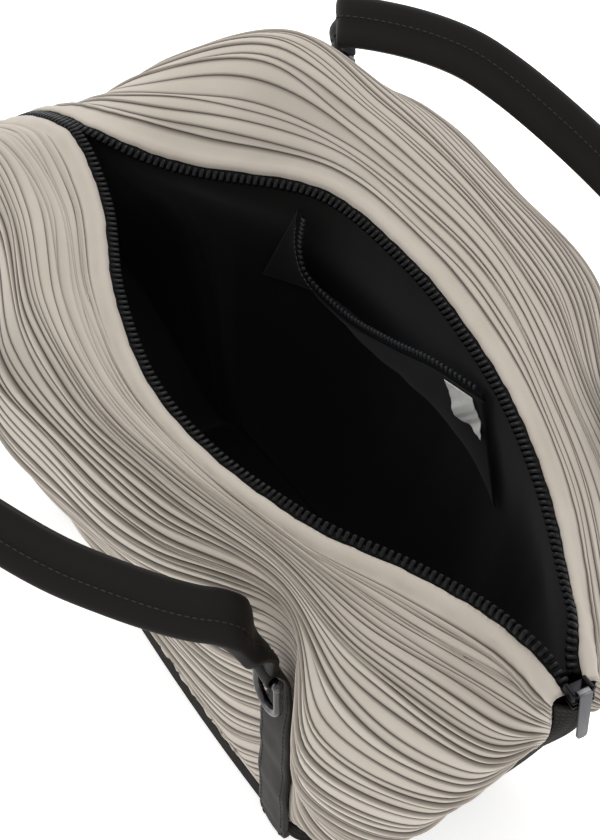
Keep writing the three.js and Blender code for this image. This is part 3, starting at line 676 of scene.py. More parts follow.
@dataclass
class BagForm:
    """The whole bag's sizes, in millimetres, and the surfaces that follow from them."""

    zip_reach: float = 238
    body_reach: float = 100
    height: float = 190
    base_length: float = 252
    base_width: float = 108
    side_bow: float = 4
    end_bow: float = 15
    corner: float = 16
    floor: float = 3
    band_height: float = 11
    band_wall: float = 2.4
    cloth_wall: float = 2
    gap: float = 0.4
    lining_wall: float = 1.2
    lining_ease: float = 0.25
    tape_width: float = 5.5
    tape_wall: float = 1
    tooth_reach: float = 2.3
    mesh_gap: float = 0.2       # between the rows of teeth where they mesh
    open_from: float = 0.2
    turning: tuple[float, float] = (-0.03, 0.08)    # about open_from, where the tape leaves the cloth
    closing: tuple[float, float] = (0.9, 0.99)      # the same at the slider
    lining_tuck: float = 2      # how far under the tape the lining is sewn
    lining_inset: float = 6     # between the band and the lining's foot
    tab_places: tuple[float, float] = (0.3, 0.7)
    rows: dict[Side, Points] = field(default_factory=dict)
    foot_shares: dict[Side, Points] = field(default_factory=dict)

    def __post_init__(self) -> None:
        """Works out the zip's stand-off and the control points of both panels."""
        self.tape_start = self.cloth_wall / 2 + 2 * self.gap
        self.tooth_start = self.tape_start + self.tape_width + self.gap
        self.closed_half = self.tooth_start + self.tooth_reach + self.mesh_gap
        for side, sections in ((Side.FRONT, FRONT_SECTIONS), (Side.BACK, BACK_SECTIONS)):
            self.rows[side] = self._control(side, sections)
            self.foot_shares[side] = np.array([[s.foot, 0, 0] for s in sections])

    def _control(self, side: Side, sections: Sequence[Section]) -> Points:
        """Works out the control points of one panel.

        Args:
            side: the long side.
            sections: the panel's sections.

        Returns:
            Points in five rows, from the zip to the foot.
        """
        reach = vec(self.zip_reach, self.body_reach, self.height)
        stand = vec(0, side.value * self.closed_half, 0)
        rows = [[np.array(s.zip) * reach + s.shut * stand for s in sections]]
        for name in ("ridge", "shoulder", "belly"):
            rows.append([np.array(getattr(s, name)) * reach for s in sections])
        feet = self.base_edge(side, np.array([s.foot for s in sections]), self.band_wall / 2)
        feet[:, 2] = self.band_height + self.gap + self.cloth_wall / 2
        rows.append(list(feet))
        return np.array(rows)

    def base_edge(self, side: Side, foot: np.ndarray, inset: float) -> Points:
        """Points on the base's outline.

        Args:
            side: the long side.
            foot: shares of half the base's length, -1 to 1.
            inset: how far inside the outline, in millimetres.

        Returns:
            The points, at height 0.
        """
        half_length = self.base_length / 2 - inset
        half_width = self.base_width / 2 - inset
        reach = np.abs(foot) * half_length
        straight = half_length - self.corner
        share = (reach / straight + 1) / 2
        bowed = half_width + 4 * self.side_bow * share * (1 - share)
        turn = 1 - np.sqrt(np.clip((half_length - reach) / self.corner, 0, None))
        turned = half_width - self.corner * turn**2
        y = side.value * np.where(reach <= straight, bowed, turned)
        return np.stack([foot * half_length, y, np.zeros_like(y)], axis=1)

    def zip_edge(self, side: Side, along: np.ndarray) -> Points:
        """The panel's top edge, kept apart where the zip is shut.

        Args:
            side: the long side.
            along: shares of the zip's length.

        Returns:
            The points.
        """
        own = through(self.rows[side][0], along)
        far = through(self.rows[side.other][0], along)
        apart = np.linalg.norm(own - far, axis=1, keepdims=True)
        held = (own + far) / 2 + unit(own - far) * self.closed_half
        return np.where(apart >= 2 * self.closed_half, own, held)

    def surface(self, side: Side, along: np.ndarray, down: np.ndarray) -> Points:
        """The panel's middle surface, along the zip and down to the foot."""
        lower = [through(row, along) for row in self.rows[side][1:]]
        return through(np.array([self.zip_edge(side, along), *lower]), down)

    def slopes(self, side: Side, along: np.ndarray, down: np.ndarray) -> tuple[Points, Points, Points]:
        """The run of the panel's surface.

        Args:
            side: the long side.
            along: shares of the zip's length.
            down: shares of the way down to the foot.

        Returns:
            Directions lengthwise, downwards and outwards.
        """
        step = 0.004
        lengthwise = unit(self.surface(side, np.minimum(along + step, 1), down)
                          - self.surface(side, np.maximum(along - step, 0), down))
        downwards = unit(self.surface(side, along, np.minimum(down + step, 1))
                         - self.surface(side, along, np.maximum(down - step, 0)))
        outwards = unit(np.cross(lengthwise, downwards) * side.value)
        return lengthwise, downwards, outwards

    def raised(self, side: Side, along: np.ndarray, down: np.ndarray,
               height: np.ndarray | float) -> Points:
        """The panel's surface, moved outwards."""
        out = self.slopes(side, along, down)[2]
        return self.surface(side, along, down) + out * np.reshape(height, (-1, 1))

    def zip_frame(self, side: Side, along: np.ndarray) -> tuple[Points, Points, Points, Points]:
        """The zip's edge and how the tape stands on it.

        Args:
            side: the long side.
            along: shares of the zip's length.

        Returns:
            The edge's points, and directions lengthwise, across the mouth and upwards.
        """
        zero = np.zeros_like(along)
        edge = self.surface(side, along, zero)
        lengthwise, downwards, _ = self.slopes(side, along, zero)
        early, late = self.turning
        shut = (1 - smooth(self.open_from + early, self.open_from + late, along)
                + smooth(*self.closing, along))[:, None]
        towards = unit(self.surface(side.other, along, zero) - edge)
        across = -downwards * (1 - shut) + towards * shut
        across = unit(across - dot(across, lengthwise) * lengthwise)
        up = unit(np.cross(across, lengthwise) * side.value)
        return edge, lengthwise, across, up

    def beside_zip(self, side: Side, along: np.ndarray, inwards: np.ndarray | float,
                   height: np.ndarray | float) -> Points:
        """Points beside the panel's zip edge, inwards of it and above the tape."""
        edge, _, across, up = self.zip_frame(side, along)
        return edge + across * np.reshape(inwards, (-1, 1)) + up * np.reshape(height, (-1, 1))

    def lining_point(self, side: Side, along: np.ndarray, down: np.ndarray) -> Points:
        """The lining's surface, which hangs from the tape to the base's floor.

        Args:
            side: the long side.
            along: shares of the zip's length.
            down: shares of the way down to the floor.

        Returns:
            The points.
        """
        under = -(self.tape_wall / 2 + 3 * self.gap)
        top = self.beside_zip(side, along, self.tape_start + self.lining_tuck, under)
        foot = through(self.foot_shares[side], along)[:, 0]
        inset = self.band_wall + self.cloth_wall / 2 + self.gap + self.lining_wall + self.lining_inset
        bottom = self.base_edge(side, foot, inset)
        bottom[:, 2] = self.floor + self.gap
        share = np.reshape(down, (-1, 1))
        hanging = top * (1 - share) + bottom * share
        ease = self.lining_ease * np.sin(math.pi * share)
        return hanging * (1 - ease) + self.surface(side, along, down) * ease


# Sub-assemblies


@dataclass
class PleatedPanel:
    """One long side of the bag in crinkle-pleated cloth."""

    form: BagForm
    side: Side
    pleats: int = 50
    depth: float = 1.5          # of a pleat, in millimetres
    selvage: float = 0.03       # share of the girth that stays plain along the zip
    lift: float = 0.16          # how far the tabs pull the pleats up at the foot
    pull_width: float = 0.065   # half the width of that pull, along the zip
    wall: float = 1.0
    cloth: tuple[float, float] = (500.0, 240.0)     # length and girth of the flat cloth
    sunk: float = 0.2           # how far the folds' roots lie below the solid panel's face
    stray: float = 0.22         # how far a fold wanders, as a share of a pleat
    narrowest: float = 0.15     # of a pleat, as a share of one
    sway: float = 0.012         # how far all folds wander together, as a share of the girth
    unevenness: float = 1.6     # of the cloth as a whole, in millimetres
    pucker: float = 0.4         # along the zip's seam, in millimetres
    ripple: float = 0.35        # of the hem over the tape, in millimetres
    tab_flat: tuple[float, float] = (0.02, 0.045)   # shares beside a tab where the pleats rise again
    tab_top: tuple[float, float] = (0.36, 0.46)     # shares down the panel where a tab starts
    columns: int = 140
    crowding: float = 0.03      # how much closer the columns stand at the ends
    merge: float = 2e-5         # metres
    seed: float = 1.0

    PHASES = (0.0, 0.07, 0.16, 0.45, 0.75, 0.93)    # rows of a pleat, from its root to the next one's
    HEIGHTS = (0.0, 0.85, 1.0, 0.72, 0.40, 0.10)
    # Painted shade in each row of a pleat: darkest at the fold's root and just before the next one.
    CREASE_SHADES = (1.0, 0.35, 0.0, 0.0, 0.05, 0.55)
    HEM = ((5.9, 0.9), (3.4, 1.6), (1.0, 1.4))      # inwards of the edge and above the tape, in mm

    def __post_init__(self) -> None:
        """Counts the pleats, with those that the tabs draw up from under the foot."""
        self.count = int(self.pleats * (1 + self.lift))

    def _rows(self) -> tuple[np.ndarray, np.ndarray]:
        """Counts the grid's rows; the first ones are the plain strip along the zip.

        Returns:
            Each row's pleat, or -1 in the plain strip, and its phase.
        """
        number = np.repeat(np.arange(self.count), len(self.PHASES))
        phase = np.tile(np.arange(len(self.PHASES)), self.count)
        plain = len(self.HEM) + 2
        number = np.concatenate([np.full(plain, -1), number, [self.count]])
        phase = np.concatenate([np.arange(plain), phase, [0]])
        return number, phase

    def _edges(self) -> np.ndarray:
        """Places the folds between the selvage and the foot, before they wander.

        Returns:
            Shares of the girth.
        """
        number = np.arange(self.count)
        width = 1 + 0.45 * wander(number * 0.37, self.seed) + 0.3 * wander(number * 0.113, self.seed + 2)
        edge = np.concatenate([[0], np.cumsum(np.clip(width, 0.5, None))])
        return self.selvage + edge / edge[-1] * (1 + self.lift - self.selvage)

    def _fold_line(self, number: np.ndarray, along: np.ndarray, edge: np.ndarray) -> np.ndarray:
        """Places folds, which draw near each other and part again.

        Args:
            number: the folds.
            along: shares of the zip's length, one for each fold.
            edge: the folds' places before they wander.

        Returns:
            Shares of the girth.
        """
        last = len(edge) - 1
        number = np.clip(number, 0, last)
        mean = (edge[-1] - edge[0]) / last
        stray = np.zeros_like(along)
        for wave, pace in enumerate((1.7, 3.9, 8.3)):
            turn = 2.399 * number * (wave + 1) + self.seed + wave
            own = turn * (1 + 0.37 * np.sin(number * 1.3))
            stray += np.sin(TURN * pace * along + own) / (1 + wave)
        held = (number > 0) & (number < last)
        return edge[number] + self.stray * mean * stray * held

    def _pull(self, along: np.ndarray) -> np.ndarray:
        """How far the tabs lift the pleats, along the zip."""
        return self.lift * sum(np.exp(-((along - place) / self.pull_width) ** 2)
                               for place in self.form.tab_places)

    def _under_tab(self, along: np.ndarray, down: np.ndarray) -> np.ndarray:
        """1 where a tab presses the pleats flat, 0 away from it."""
        near = sum(1 - smooth(*self.tab_flat, np.abs(along - place)) for place in self.form.tab_places)
        return near * smooth(*self.tab_top, down)

    def _folds(self, along: np.ndarray, down: np.ndarray) -> np.ndarray:
        """Broad soft unevenness of the cloth, in millimetres."""
        broad = wander(along * 2.4 + down * 0.9, self.seed) * wander(down * 1.7 - along, self.seed + 1)
        return self.unevenness * broad * np.sin(math.pi * np.clip(down, 0, 1)) * np.sin(math.pi * along)

    def _spread(self, line: np.ndarray, along: np.ndarray) -> np.ndarray:
        """Draws the pleats up under the tabs.

        Args:
            line: shares of the girth.
            along: shares of the zip's length.

        Returns:
            Shares of the way down the panel.
        """
        sway = wander(along * 1.9 + line * 1.3, self.seed + 3, 3) * smooth(0.02, 0.12, line)
        line = line + self.sway * sway
        pull = self._pull(along)
        lifted = (np.sqrt(1 + 4 * pull * np.maximum(line, 0)) - 1) / np.maximum(2 * pull, 1e-4)
        return np.clip(np.where(pull > 1e-4, lifted, line), 0, 1)

    def _pleat_height(self, number: np.ndarray, phase: np.ndarray, along: np.ndarray,
                      down: np.ndarray) -> np.ndarray:
        """Raises the rows; pleats swell and fade along their length.

        Args:
            number: each point's pleat.
            phase: its phase.
            along: its share of the zip's length.
            down: its share of the way down the panel.

        Returns:
            Millimetres above the roots.
        """
        share = np.array(self.HEIGHTS)[phase]
        swell = 0.62 + 0.38 * np.sin(TURN * (2.3 + 0.9 * np.sin(number)) * along + number * 1.93)
        ends = smooth(0, 0.03, along) * (1 - smooth(0.97, 1, along))
        calm = (0.25 + 0.75 * ends) * (1 - 0.85 * self._under_tab(along, down))
        return self.depth * share * swell * calm * (1 - 0.7 * smooth(0.965, 0.995, down))

    def build(self) -> bpy.types.Object:
        """Makes the panel's mesh.

        Returns:
            The piece.
        """
        number, phase = self._rows()
        edge = self._edges()
        last = len(number) - 1
        plain = len(self.HEM)
        form = self.form

        def place(share: np.ndarray, across: np.ndarray) -> Points:
            """Pleats the cloth and folds its hem over the tape."""
            along = share - self.crowding * np.sin(TURN * share)
            row = np.rint(across * last).astype(int)
            pleat, step = number[row], phase[row]
            pleated = pleat >= 0
            step_in = np.where(pleated, step, 0)
            low = self._fold_line(pleat, along, edge)
            high = self._fold_line(pleat + 1, along, edge)
            width = np.maximum(high - low, self.narrowest * (edge[2] - edge[1]))
            line = low + np.array(self.PHASES)[step_in] * width
            line = np.where(pleated, line, self.selvage * np.clip(step - plain + 0.2, 0, 2) / 2)
            down = self._spread(line, along)
            out = self._pleat_height(pleat, step_in, along, down) * pleated + self._folds(along, down)
            out += self.pucker * wander(along * 21, self.seed + 7) * (1 - smooth(0.0, 0.06, line))
            made = form.raised(self.side, along, down, out + form.cloth_wall / 2 - self.sunk)
            hem = np.where(pleated, plain, np.minimum(step, plain))
            for index, (inwards, height) in enumerate(self.HEM):
                chosen = hem == index
                ripple = self.ripple * wander(along[chosen] * 26, self.seed + 9)
                made[chosen] = form.beside_zip(self.side, along[chosen], inwards + ripple, height)
            return made

        bm = bmesh.new()
        # Painted shade for each point, which the cloth's material reads.
        crease_shade_layer = bm.verts.layers.float.new("crease")
        made = mapped_grid(bm, self.columns, last, place, self.cloth)
        flat = sorted(made, key=lambda v: v.index)
        column_count = len(flat) // (last + 1)
        for index, vert in enumerate(flat):
            row = min(index // column_count, last)
            vert[crease_shade_layer] = self.CREASE_SHADES[phase[row]] if number[row] >= 0 else 0.0
        bmesh.ops.remove_doubles(bm, verts=bm.verts, dist=self.merge)
        bmesh.ops.dissolve_degenerate(bm, edges=bm.edges, dist=self.merge / 2)
        look_away(bm, INSIDE)
        name = f"{self.side.name.lower()}_panel"
        obj = to_mesh(bm, f"{name}_cloth")
        thicken(obj, self.wall)
        return dress(obj, CLOTH.material(), "pleated_cloth", "bag", name)


@dataclass
class EndGusset:
    """The canvas end between the two panels' end seams."""

    form: BagForm
    end: End
    bulge: float = 7
    crumple: float = 0.8
    seam: float = 0.8           # between the canvas and the panels' end edges
    wall: float = 1.4
    top: float = 0.03           # share of the panel's depth above the canvas
    cloth: tuple[float, float] = (90.0, 170.0)      # the flat canvas
    columns: int = 36
    rows: int = 70
    merge: float = 1e-5         # metres

    def _middle(self, share: np.ndarray, down: np.ndarray) -> Points:
        """Lays the canvas between the two end seams.

        Args:
            share: shares of the way from the front seam to the back seam.
            down: shares of the way down to the foot.

        Returns:
            The points.
        """
        along = np.full_like(down, float(self.end.value))
        near = self.form.surface(Side.FRONT, along, down)
        far = self.form.surface(Side.BACK, along, down)
        margin = self.seam / np.linalg.norm(near - far, axis=1)
        place = (margin + (1 - 2 * margin) * share)[:, None]
        point = near * (1 - place) + far * place
        bow = self.bulge + (self.form.end_bow - self.bulge) * down**3
        crumple = self.crumple * wander(down * 2.3 + share * 1.4, 4.0) * np.sin(math.pi * share)
        sign = 1 if self.end is End.SLIDER else -1
        point[:, 0] += sign * (bow * 4 * share * (1 - share) + crumple)
        return point

    def build(self) -> bpy.types.Object:
        """Makes the gusset's mesh.

        Returns:
            The piece.
        """
        bm = bmesh.new()

        def place(share: np.ndarray, across: np.ndarray) -> Points:
            """The gusset below its open top."""
            return self._middle(share, self.top + (1 - self.top) * across)

        mapped_grid(bm, self.columns, self.rows, place, self.cloth)
        bmesh.ops.remove_doubles(bm, verts=bm.verts, dist=self.merge)
        look_away(bm, INSIDE)
        name = "end_gusset_right" if self.end is End.SLIDER else "end_gusset_left"
        obj = to_mesh(bm, f"{name}_canvas")
        thicken(obj, self.wall)
        return dress(obj, CANVAS.material(), "canvas", "bag", name)


@dataclass
class CanvasBase:
    """The flat bottom and the low band that stands round it."""

    form: BagForm
    steps: int = 14             # along each side and each corner
    floor_gap: float = 0.3
    edge: float = 0.5           # the rounding of the floor's rims

    def outline(self, inset: float) -> Points:
        """The base's outline at height 0, going round once.

        Args:
            inset: how far inside the outermost line, in millimetres.

        Returns:
            The points.
        """
        half_length = self.form.base_length / 2 - inset
        half_width = self.form.base_width / 2 - inset
        corner = self.form.corner
        side, end = 2 * self.form.side_bow, 2 * self.form.end_bow
        start = vec(corner - half_length, -half_width, 0)
        legs = []
        for turn in (1, -1):
            x, y = turn * half_length, turn * half_width
            short_x, short_y = turn * (half_length - corner), turn * (half_width - corner)
            legs += [(vec(0, -turn * (half_width + side), 0), vec(short_x, -y, 0)),
                     (vec(x, -y, 0), vec(x, -short_y, 0)),
                     (vec(turn * (half_length + end), 0, 0), vec(x, short_y, 0)),
                     (vec(x, y, 0), vec(short_x, y, 0))]
        points = []
        for bend, stop in legs:
            t = (np.arange(self.steps) / self.steps)[:, None]
            points.append(start * (1 - t) ** 2 + bend * 2 * t * (1 - t) + stop * t**2)
            start = stop
        return np.concatenate(points)

    def floor(self) -> bpy.types.Object:
        """Makes the flat bottom, with eased edges.

        Returns:
            The piece.
        """
        ring = self.outline(self.form.band_wall + self.floor_gap)
        bm = bmesh.new()
        made = bmesh.ops.create_circle(bm, cap_ends=True, segments=len(ring), radius=1)["verts"]
        for vert, point in zip(made, ring / METRE):
            vert.co = point
        top = bmesh.ops.extrude_face_region(bm, geom=list(bm.faces))["geom"]
        rise = Vector((0, 0, self.form.floor / METRE))
        bmesh.ops.translate(bm, vec=rise, verts=[g for g in top if isinstance(g, bmesh.types.BMVert)])
        bmesh.ops.recalc_face_normals(bm, faces=bm.faces)
        rims = [e for e in bm.edges if abs(e.verts[0].co.z - e.verts[1].co.z) < TINY]
        ease_edges(bm, rims, self.edge, 2)
        obj = to_mesh(bm, "base_floor_canvas")
        return dress(obj, CANVAS.material(), "canvas", "bag", "base_floor")

    def band(self) -> bpy.types.Object:
        """Makes the standing band, a folded strip of canvas with a rounded top edge.

        Returns:
            The piece.
        """
        wall, tall = self.form.band_wall, self.form.band_height
        section = [(0.35, 0.0), (0.05, 0.5), (0.0, 1.5)]     # inset and height, up the outer face
        section += [(0.0, tall * share) for share in (0.3, 0.5, 0.7)]
        section += [(0.0, tall - 1.0), (0.3, tall - 0.3), (wall / 2, tall), (wall - 0.3, tall - 0.3),
                    (wall, tall - 1.0), (wall, tall / 2), (wall, 0.6), (wall - 0.4, 0.0)]
        rings = np.stack([self.outline(inset) + vec(0, 0, height) for inset, height in section], axis=1)
        bm = bmesh.new()
        tube(bm, rings, closed=True)
        obj = to_mesh(bm, "base_band_canvas")
        return dress(obj, CANVAS.material(), "canvas", "bag", "base_band")


@dataclass
class Lining:
    """The satin bag inside, hung from the zip's tapes and lying on the floor."""

    form: BagForm
    end: float = 0.03           # share of the zip that the lining stops short of
    columns: int = 150          # on each long side
    wall_rows: int = 70
    floor_rows: int = 24
    wall: float = 0.7
    fold: float = 1.2           # of the satin's broad folds
    ripple: float = 0.4
    floor_reach: float = 0.9    # share of its length where the floor closes along the middle
    floor_wave: float = 0.8
    rest: float = 0.6           # how high the satin lies off the solid lining's foot
    cloth: tuple[float, float] = (900.0, 260.0)     # the flat satin: right round, and wall and half floor
    merge: float = 1e-4         # metres
    smallest: float = 1e-5      # metres

    def point(self, index: np.ndarray, down: np.ndarray) -> Points:
        """Points of the ring round the lining: the front, then the back reversed.

        Args:
            index: columns round the ring.
            down: shares of the way down to the floor.

        Returns:
            The points.
        """
        share = np.where(index < self.columns, index, 2 * self.columns - 1 - index) / (self.columns - 1)
        along = self.end + (1 - 2 * self.end) * share
        front = self.form.lining_point(Side.FRONT, along, down)
        back = self.form.lining_point(Side.BACK, along, down)
        point = np.where((index < self.columns)[:, None], front, back)
        inwards = unit((front + back) / 2 - point)
        inwards[:, 2] = 0
        sag = np.sin(math.pi * np.clip(down, 0, 1))
        side = np.where(index < self.columns, 0.0, 0.5)
        fold = 1.0 + wander(share * 3.6 + 0.35 * down + side, 3.0)
        ripple = 0.5 + 0.5 * wander(share * 17 + down * 1.6, 9.0, 2)
        return point + inwards * ((self.fold * fold + self.ripple * ripple) * sag)[:, None]

    def build(self) -> bpy.types.Object:
        """Makes the lining's mesh, with its floor closed along the middle.

        Returns:
            The piece.
        """
        around, rows = 2 * self.columns, self.wall_rows + self.floor_rows

        def place(share: np.ndarray, across: np.ndarray) -> Points:
            """The wall, and below it the floor."""
            index = np.rint(share * around).astype(int) % around
            row = np.rint(across * rows)
            down = np.minimum(row / self.wall_rows, 1.0)
            inner = np.clip((row - self.wall_rows) / self.floor_rows, 0, 1)[:, None]
            point = self.point(index, down)
            middle = point * vec(self.floor_reach, 0, 1)
            point = point * (1 - inner) + middle * inner
            wave = self.floor_wave * (1 + wander(point[:, 0] / 90 + point[:, 1] / 55, 3.0))
            point[:, 2] += wave * np.sin(math.pi * inner[:, 0] / 2) + self.rest
            return point

        bm = bmesh.new()
        mapped_grid(bm, around, rows, place, self.cloth)
        bmesh.ops.remove_doubles(bm, verts=bm.verts, dist=self.merge)
        bmesh.ops.dissolve_degenerate(bm, edges=bm.edges, dist=self.smallest)
        look_away(bm, INSIDE)
        obj = to_mesh(bm, "lining_satin")
        thicken(obj, self.wall, 1.0)
        return dress(obj, SATIN.material(), "satin", "bag", "lining")


def ease_edges(bm: bmesh.types.BMesh, edges: Sequence[bmesh.types.BMEdge], ease: float,
               segments: int) -> None:
    """Rounds edges over.

    Args:
        bm: the bmesh.
        edges: its edges to round.
        ease: how far the rounding reaches, in millimetres.
        segments: faces across it.
    """
    bmesh.ops.bevel(bm, geom=edges, offset=ease / METRE, offset_type="OFFSET", segments=segments,
                    profile=0.5, affect="EDGES", material=-1)


def block_pattern(name: str, size: tuple[float, float, float], ease: float) -> bpy.types.Mesh:
    """Makes a small block with eased edges, centred, for copying.

    Args:
        name: the mesh's name.
        size: its sizes along X, Y and Z, in millimetres.
        ease: how far its edges are rounded.

    Returns:
        The mesh.
    """
    bm = bmesh.new()
    bmesh.ops.create_cube(bm, size=1 / METRE)
    bmesh.ops.scale(bm, vec=size, verts=bm.verts)
    ease_edges(bm, list(bm.edges), ease, 1)
    made = bpy.data.meshes.new(name)
    bm.to_mesh(made)
    bm.free()
    return made


def oriented(at: Points, along: Points, up: Points) -> Matrix:
    """Makes a place for a copy.

    Args:
        at: its middle, in millimetres.
        along: where its X points.
        up: near where its Z points.

    Returns:
        The place, in metres.
    """
    x = unit(along)
    z = unit(up - np.dot(up, x) * x)
    y = np.cross(z, x)
    made = Matrix((x, y, z)).transposed().to_4x4()
    made.translation = Vector(at) / METRE
    return made


def repeated(bm: bmesh.types.BMesh, pattern: bpy.types.Mesh, places: Sequence[Matrix]) -> None:
    """Adds a copy of a small mesh at each place.

    Args:
        bm: the bmesh to add to.
        pattern: the small mesh.
        places: where the copies go.
    """
    for place in places:
        before = len(bm.verts)
        bm.from_mesh(pattern)
        bm.verts.ensure_lookup_table()
        bmesh.ops.transform(bm, matrix=place, verts=bm.verts[before:])


@dataclass
class Stitching:
    """A row of stitches: short raised threads that dip at both ends."""

    length: float = 2.5
    pitch: float = 3.2
    thick: float = 0.75
    flatness: float = 0.7       # share of its thickness that stands up

    def pattern(self) -> bpy.types.Mesh:
        """Makes one stitch, a slim spindle of a few faces.

        Returns:
            The mesh.
        """
        bm = bmesh.new()
        bmesh.ops.create_uvsphere(bm, u_segments=6, v_segments=5, radius=0.5 / METRE)
        turn = Matrix.Rotation(math.pi / 2, 4, "Y")
        bmesh.ops.transform(bm, matrix=turn, verts=bm.verts)
        bmesh.ops.scale(bm, vec=(self.length, self.thick, self.thick * self.flatness), verts=bm.verts)
        made = bpy.data.meshes.new("stitch")
        bm.to_mesh(made)
        bm.free()
        return made

    def along(self, path: Points, up: Points) -> list[Matrix]:
        """Places for stitches on a path.

        Args:
            path: (n, 3) points, in millimetres.
            up: (n, 3) directions out of the leather or cloth.

        Returns:
            One place for each stitch.
        """
        far = travelled(path)
        step = 0.5
        places = []
        for at in np.arange(self.pitch / 2, far[-1] - self.pitch / 2, self.pitch):
            spot = at_distance(path, far, at)
            ahead = at_distance(path, far, at + step) - spot
            places.append(oriented(spot, ahead, at_distance(up, far, at)))
        return places

    def build(self, name: str, rows: Sequence[tuple[Points, Points]], finish: WaxedThread, slot: str,
              body: str = "bag") -> bpy.types.Object:
        """Makes one piece of several rows.

        Args:
            name: the piece's name.
            rows: a path for each row, with its directions out of the leather or cloth.
            finish: the thread.
            slot: the record's material slot.
            body: the body that it rides on.

        Returns:
            The piece.
        """
        bm = bmesh.new()
        pattern = self.pattern()
        for path, up in rows:
            repeated(bm, pattern, self.along(path, up))
        bpy.data.meshes.remove(pattern)
        return dress(to_mesh(bm, name), finish.material(), slot, body)


@dataclass
class InnerPocket:
    """The patch pocket on the back of the lining, its open zip and the care label."""

    form: BagForm
    start: float = 0.33
    stop: float = 0.66
    depth: float = 95
    wall: float = 1.2           # of the solid pocket
    cloth_wall: float = 0.8
    sag: float = 3              # how far the pocket's middle hangs off the lining
    tape: float = 4
    tape_wall: float = 0.6
    tape_lean: float = 0.5
    tape_lap: float = 0.2       # between the tape's edge and the cloth's, and between it and the teeth
    tooth: tuple[float, float, float] = (1.5, 1.5, 2.4)     # along, across and high
    tooth_ease: float = 0.25
    tooth_pitch: float = 2.9
    label_length: float = 30
    label_width: float = 15
    label_wall: float = 0.35
    label_place: float = 0.92   # share of the mouth where the label is sewn in
    label_slant: float = 0.03

    STITCH_ROWS = (0.03, 0.075)     # shares of the pocket's depth
    MOUTH = (   # shares of the zip's reach, the body's reach and the height
        (-0.272, 0.525, 0.955),
        (-0.280, 0.515, 0.830),
        (-0.238, 0.520, 0.755),
        (-0.100, 0.545, 0.765),
        (0.050, 0.560, 0.840),
        (0.180, 0.590, 0.910),
        (0.305, 0.650, 0.935),
    )

    def point(self, share: np.ndarray, down: np.ndarray) -> Points:
        """The pocket's cloth, from its mouth to its foot.

        Args:
            share: shares of its width.
            down: 0 at the mouth to 1 at the foot.

        Returns:
            The points.
        """
        along = self.start + (self.stop - self.start) * share
        reach = vec(self.form.zip_reach, self.form.body_reach, self.form.height)
        top = through(np.array(self.MOUTH) * reach, share)
        foot = self.form.lining_point(Side.BACK, along, np.full_like(along, self.depth / self.form.height))
        foot[:, 1] -= self.form.lining_wall + 6 * self.form.gap + self.wall / 2
        mixed = top * (1 - down[:, None]) + foot * down[:, None]
        bulge = np.sin(math.pi * np.clip(share, 0, 1)) * np.sin(math.pi * np.clip(down, 0, 1))
        mixed[:, 1] -= bulge * (self.sag - 0.9 * wander(share * 2.6 + down * 0.8, 6.0))
        return mixed

    def _upwards(self, share: np.ndarray) -> Points:
        """The direction out of the pocket's mouth, square to its run."""
        zero = np.zeros_like(share)
        step = 0.02
        ahead = self.point(np.minimum(share + step, 1), zero) - self.point(np.maximum(share - step, 0), zero)
        return unit(np.cross(ahead, vec(0, 1, 0)))

    def cloth(self) -> bpy.types.Object:
        """Makes the pocket's cloth.

        Returns:
            The piece.
        """
        bm = bmesh.new()
        mapped_grid(bm, 80, 50, self.point, (180.0, self.depth))
        look_away(bm, BEHIND_POCKET)
        obj = to_mesh(bm, "inner_pocket_satin")
        thicken(obj, self.cloth_wall)
        return dress(obj, SATIN.material(), "satin", "bag", "inner_pocket")

    def zip_edge(self) -> bpy.types.Object:
        """Makes the tape along the mouth.

        Returns:
            The piece.
        """
        bm = bmesh.new()

        def place(share: np.ndarray, across: np.ndarray) -> Points:
            """The tape, standing on the mouth and leaning out a little in its middle."""
            rise = (across * self.tape)[:, None] - self.tape_lap
            moved = self.point(share, 0 * share) + self._upwards(share) * rise
            moved[:, 1] -= self.tape_lean * np.sin(math.pi * across)
            return moved

        mapped_grid(bm, 90, 6, place, (180.0, self.tape))
        look_away(bm, BEHIND_POCKET)
        obj = to_mesh(bm, "pocket_zip_tape")
        thicken(obj, self.tape_wall)
        return dress(obj, TAPE.material(), "zip_tape", "bag")

    def teeth(self) -> bpy.types.Object:
        """The small teeth on the tape's edge.

        Returns:
            The piece.
        """
        share = np.linspace(0.01, 0.99, 400)
        up = self._upwards(share)
        path = self.point(share, 0 * share) + up * (self.tape + self.tape_lap)
        bm = bmesh.new()
        tooth = block_pattern("small_tooth", self.tooth, self.tooth_ease)
        row = Stitching(pitch=self.tooth_pitch)
        repeated(bm, tooth, row.along(path, up))
        bpy.data.meshes.remove(tooth)
        return dress(to_mesh(bm, "pocket_zip_teeth"), POCKET_TEETH.material(), "pocket_zip_teeth", "bag",
                     "pocket_zip")

    def stitches(self) -> bpy.types.Object:
        """Makes two grey rows below the tape.

        Returns:
            The piece.
        """
        share = np.linspace(0.03, 0.97, 200)
        out = np.tile(vec(0, -1, 0.2), (len(share), 1))
        lift = 0.55
        rows = []
        for down in self.STITCH_ROWS:
            path = self.point(share, np.full_like(share, down)) + out * lift
            rows.append((path, out))
        return Stitching(2.0, 2.8, 0.5).build("pocket_stitches", rows, GREY_THREAD, "satin")

    def label(self) -> bpy.types.Object:
        """Makes the small blank label, crumpled and folded over.

        Returns:
            The piece.
        """
        half = self.label_width / 2 / (2 * self.form.zip_reach * (self.stop - self.start))

        def place(share: np.ndarray, across: np.ndarray) -> Points:
            """The label, hanging from its seam over the pocket's cloth."""
            side = 2 * share - 1
            sewn = self.label_place + side * half + self.label_slant * across
            at = self.point(sewn, 0.02 + across * self.label_length / self.depth)
            crumple = 1.4 * across * (1 + np.sin(5 * across + 2 * side))
            fold = 0.7 * wander(across * 1.6 + side * 0.5, 5.0)
            at[:, 1] -= 1.3 + crumple + fold * across
            return at

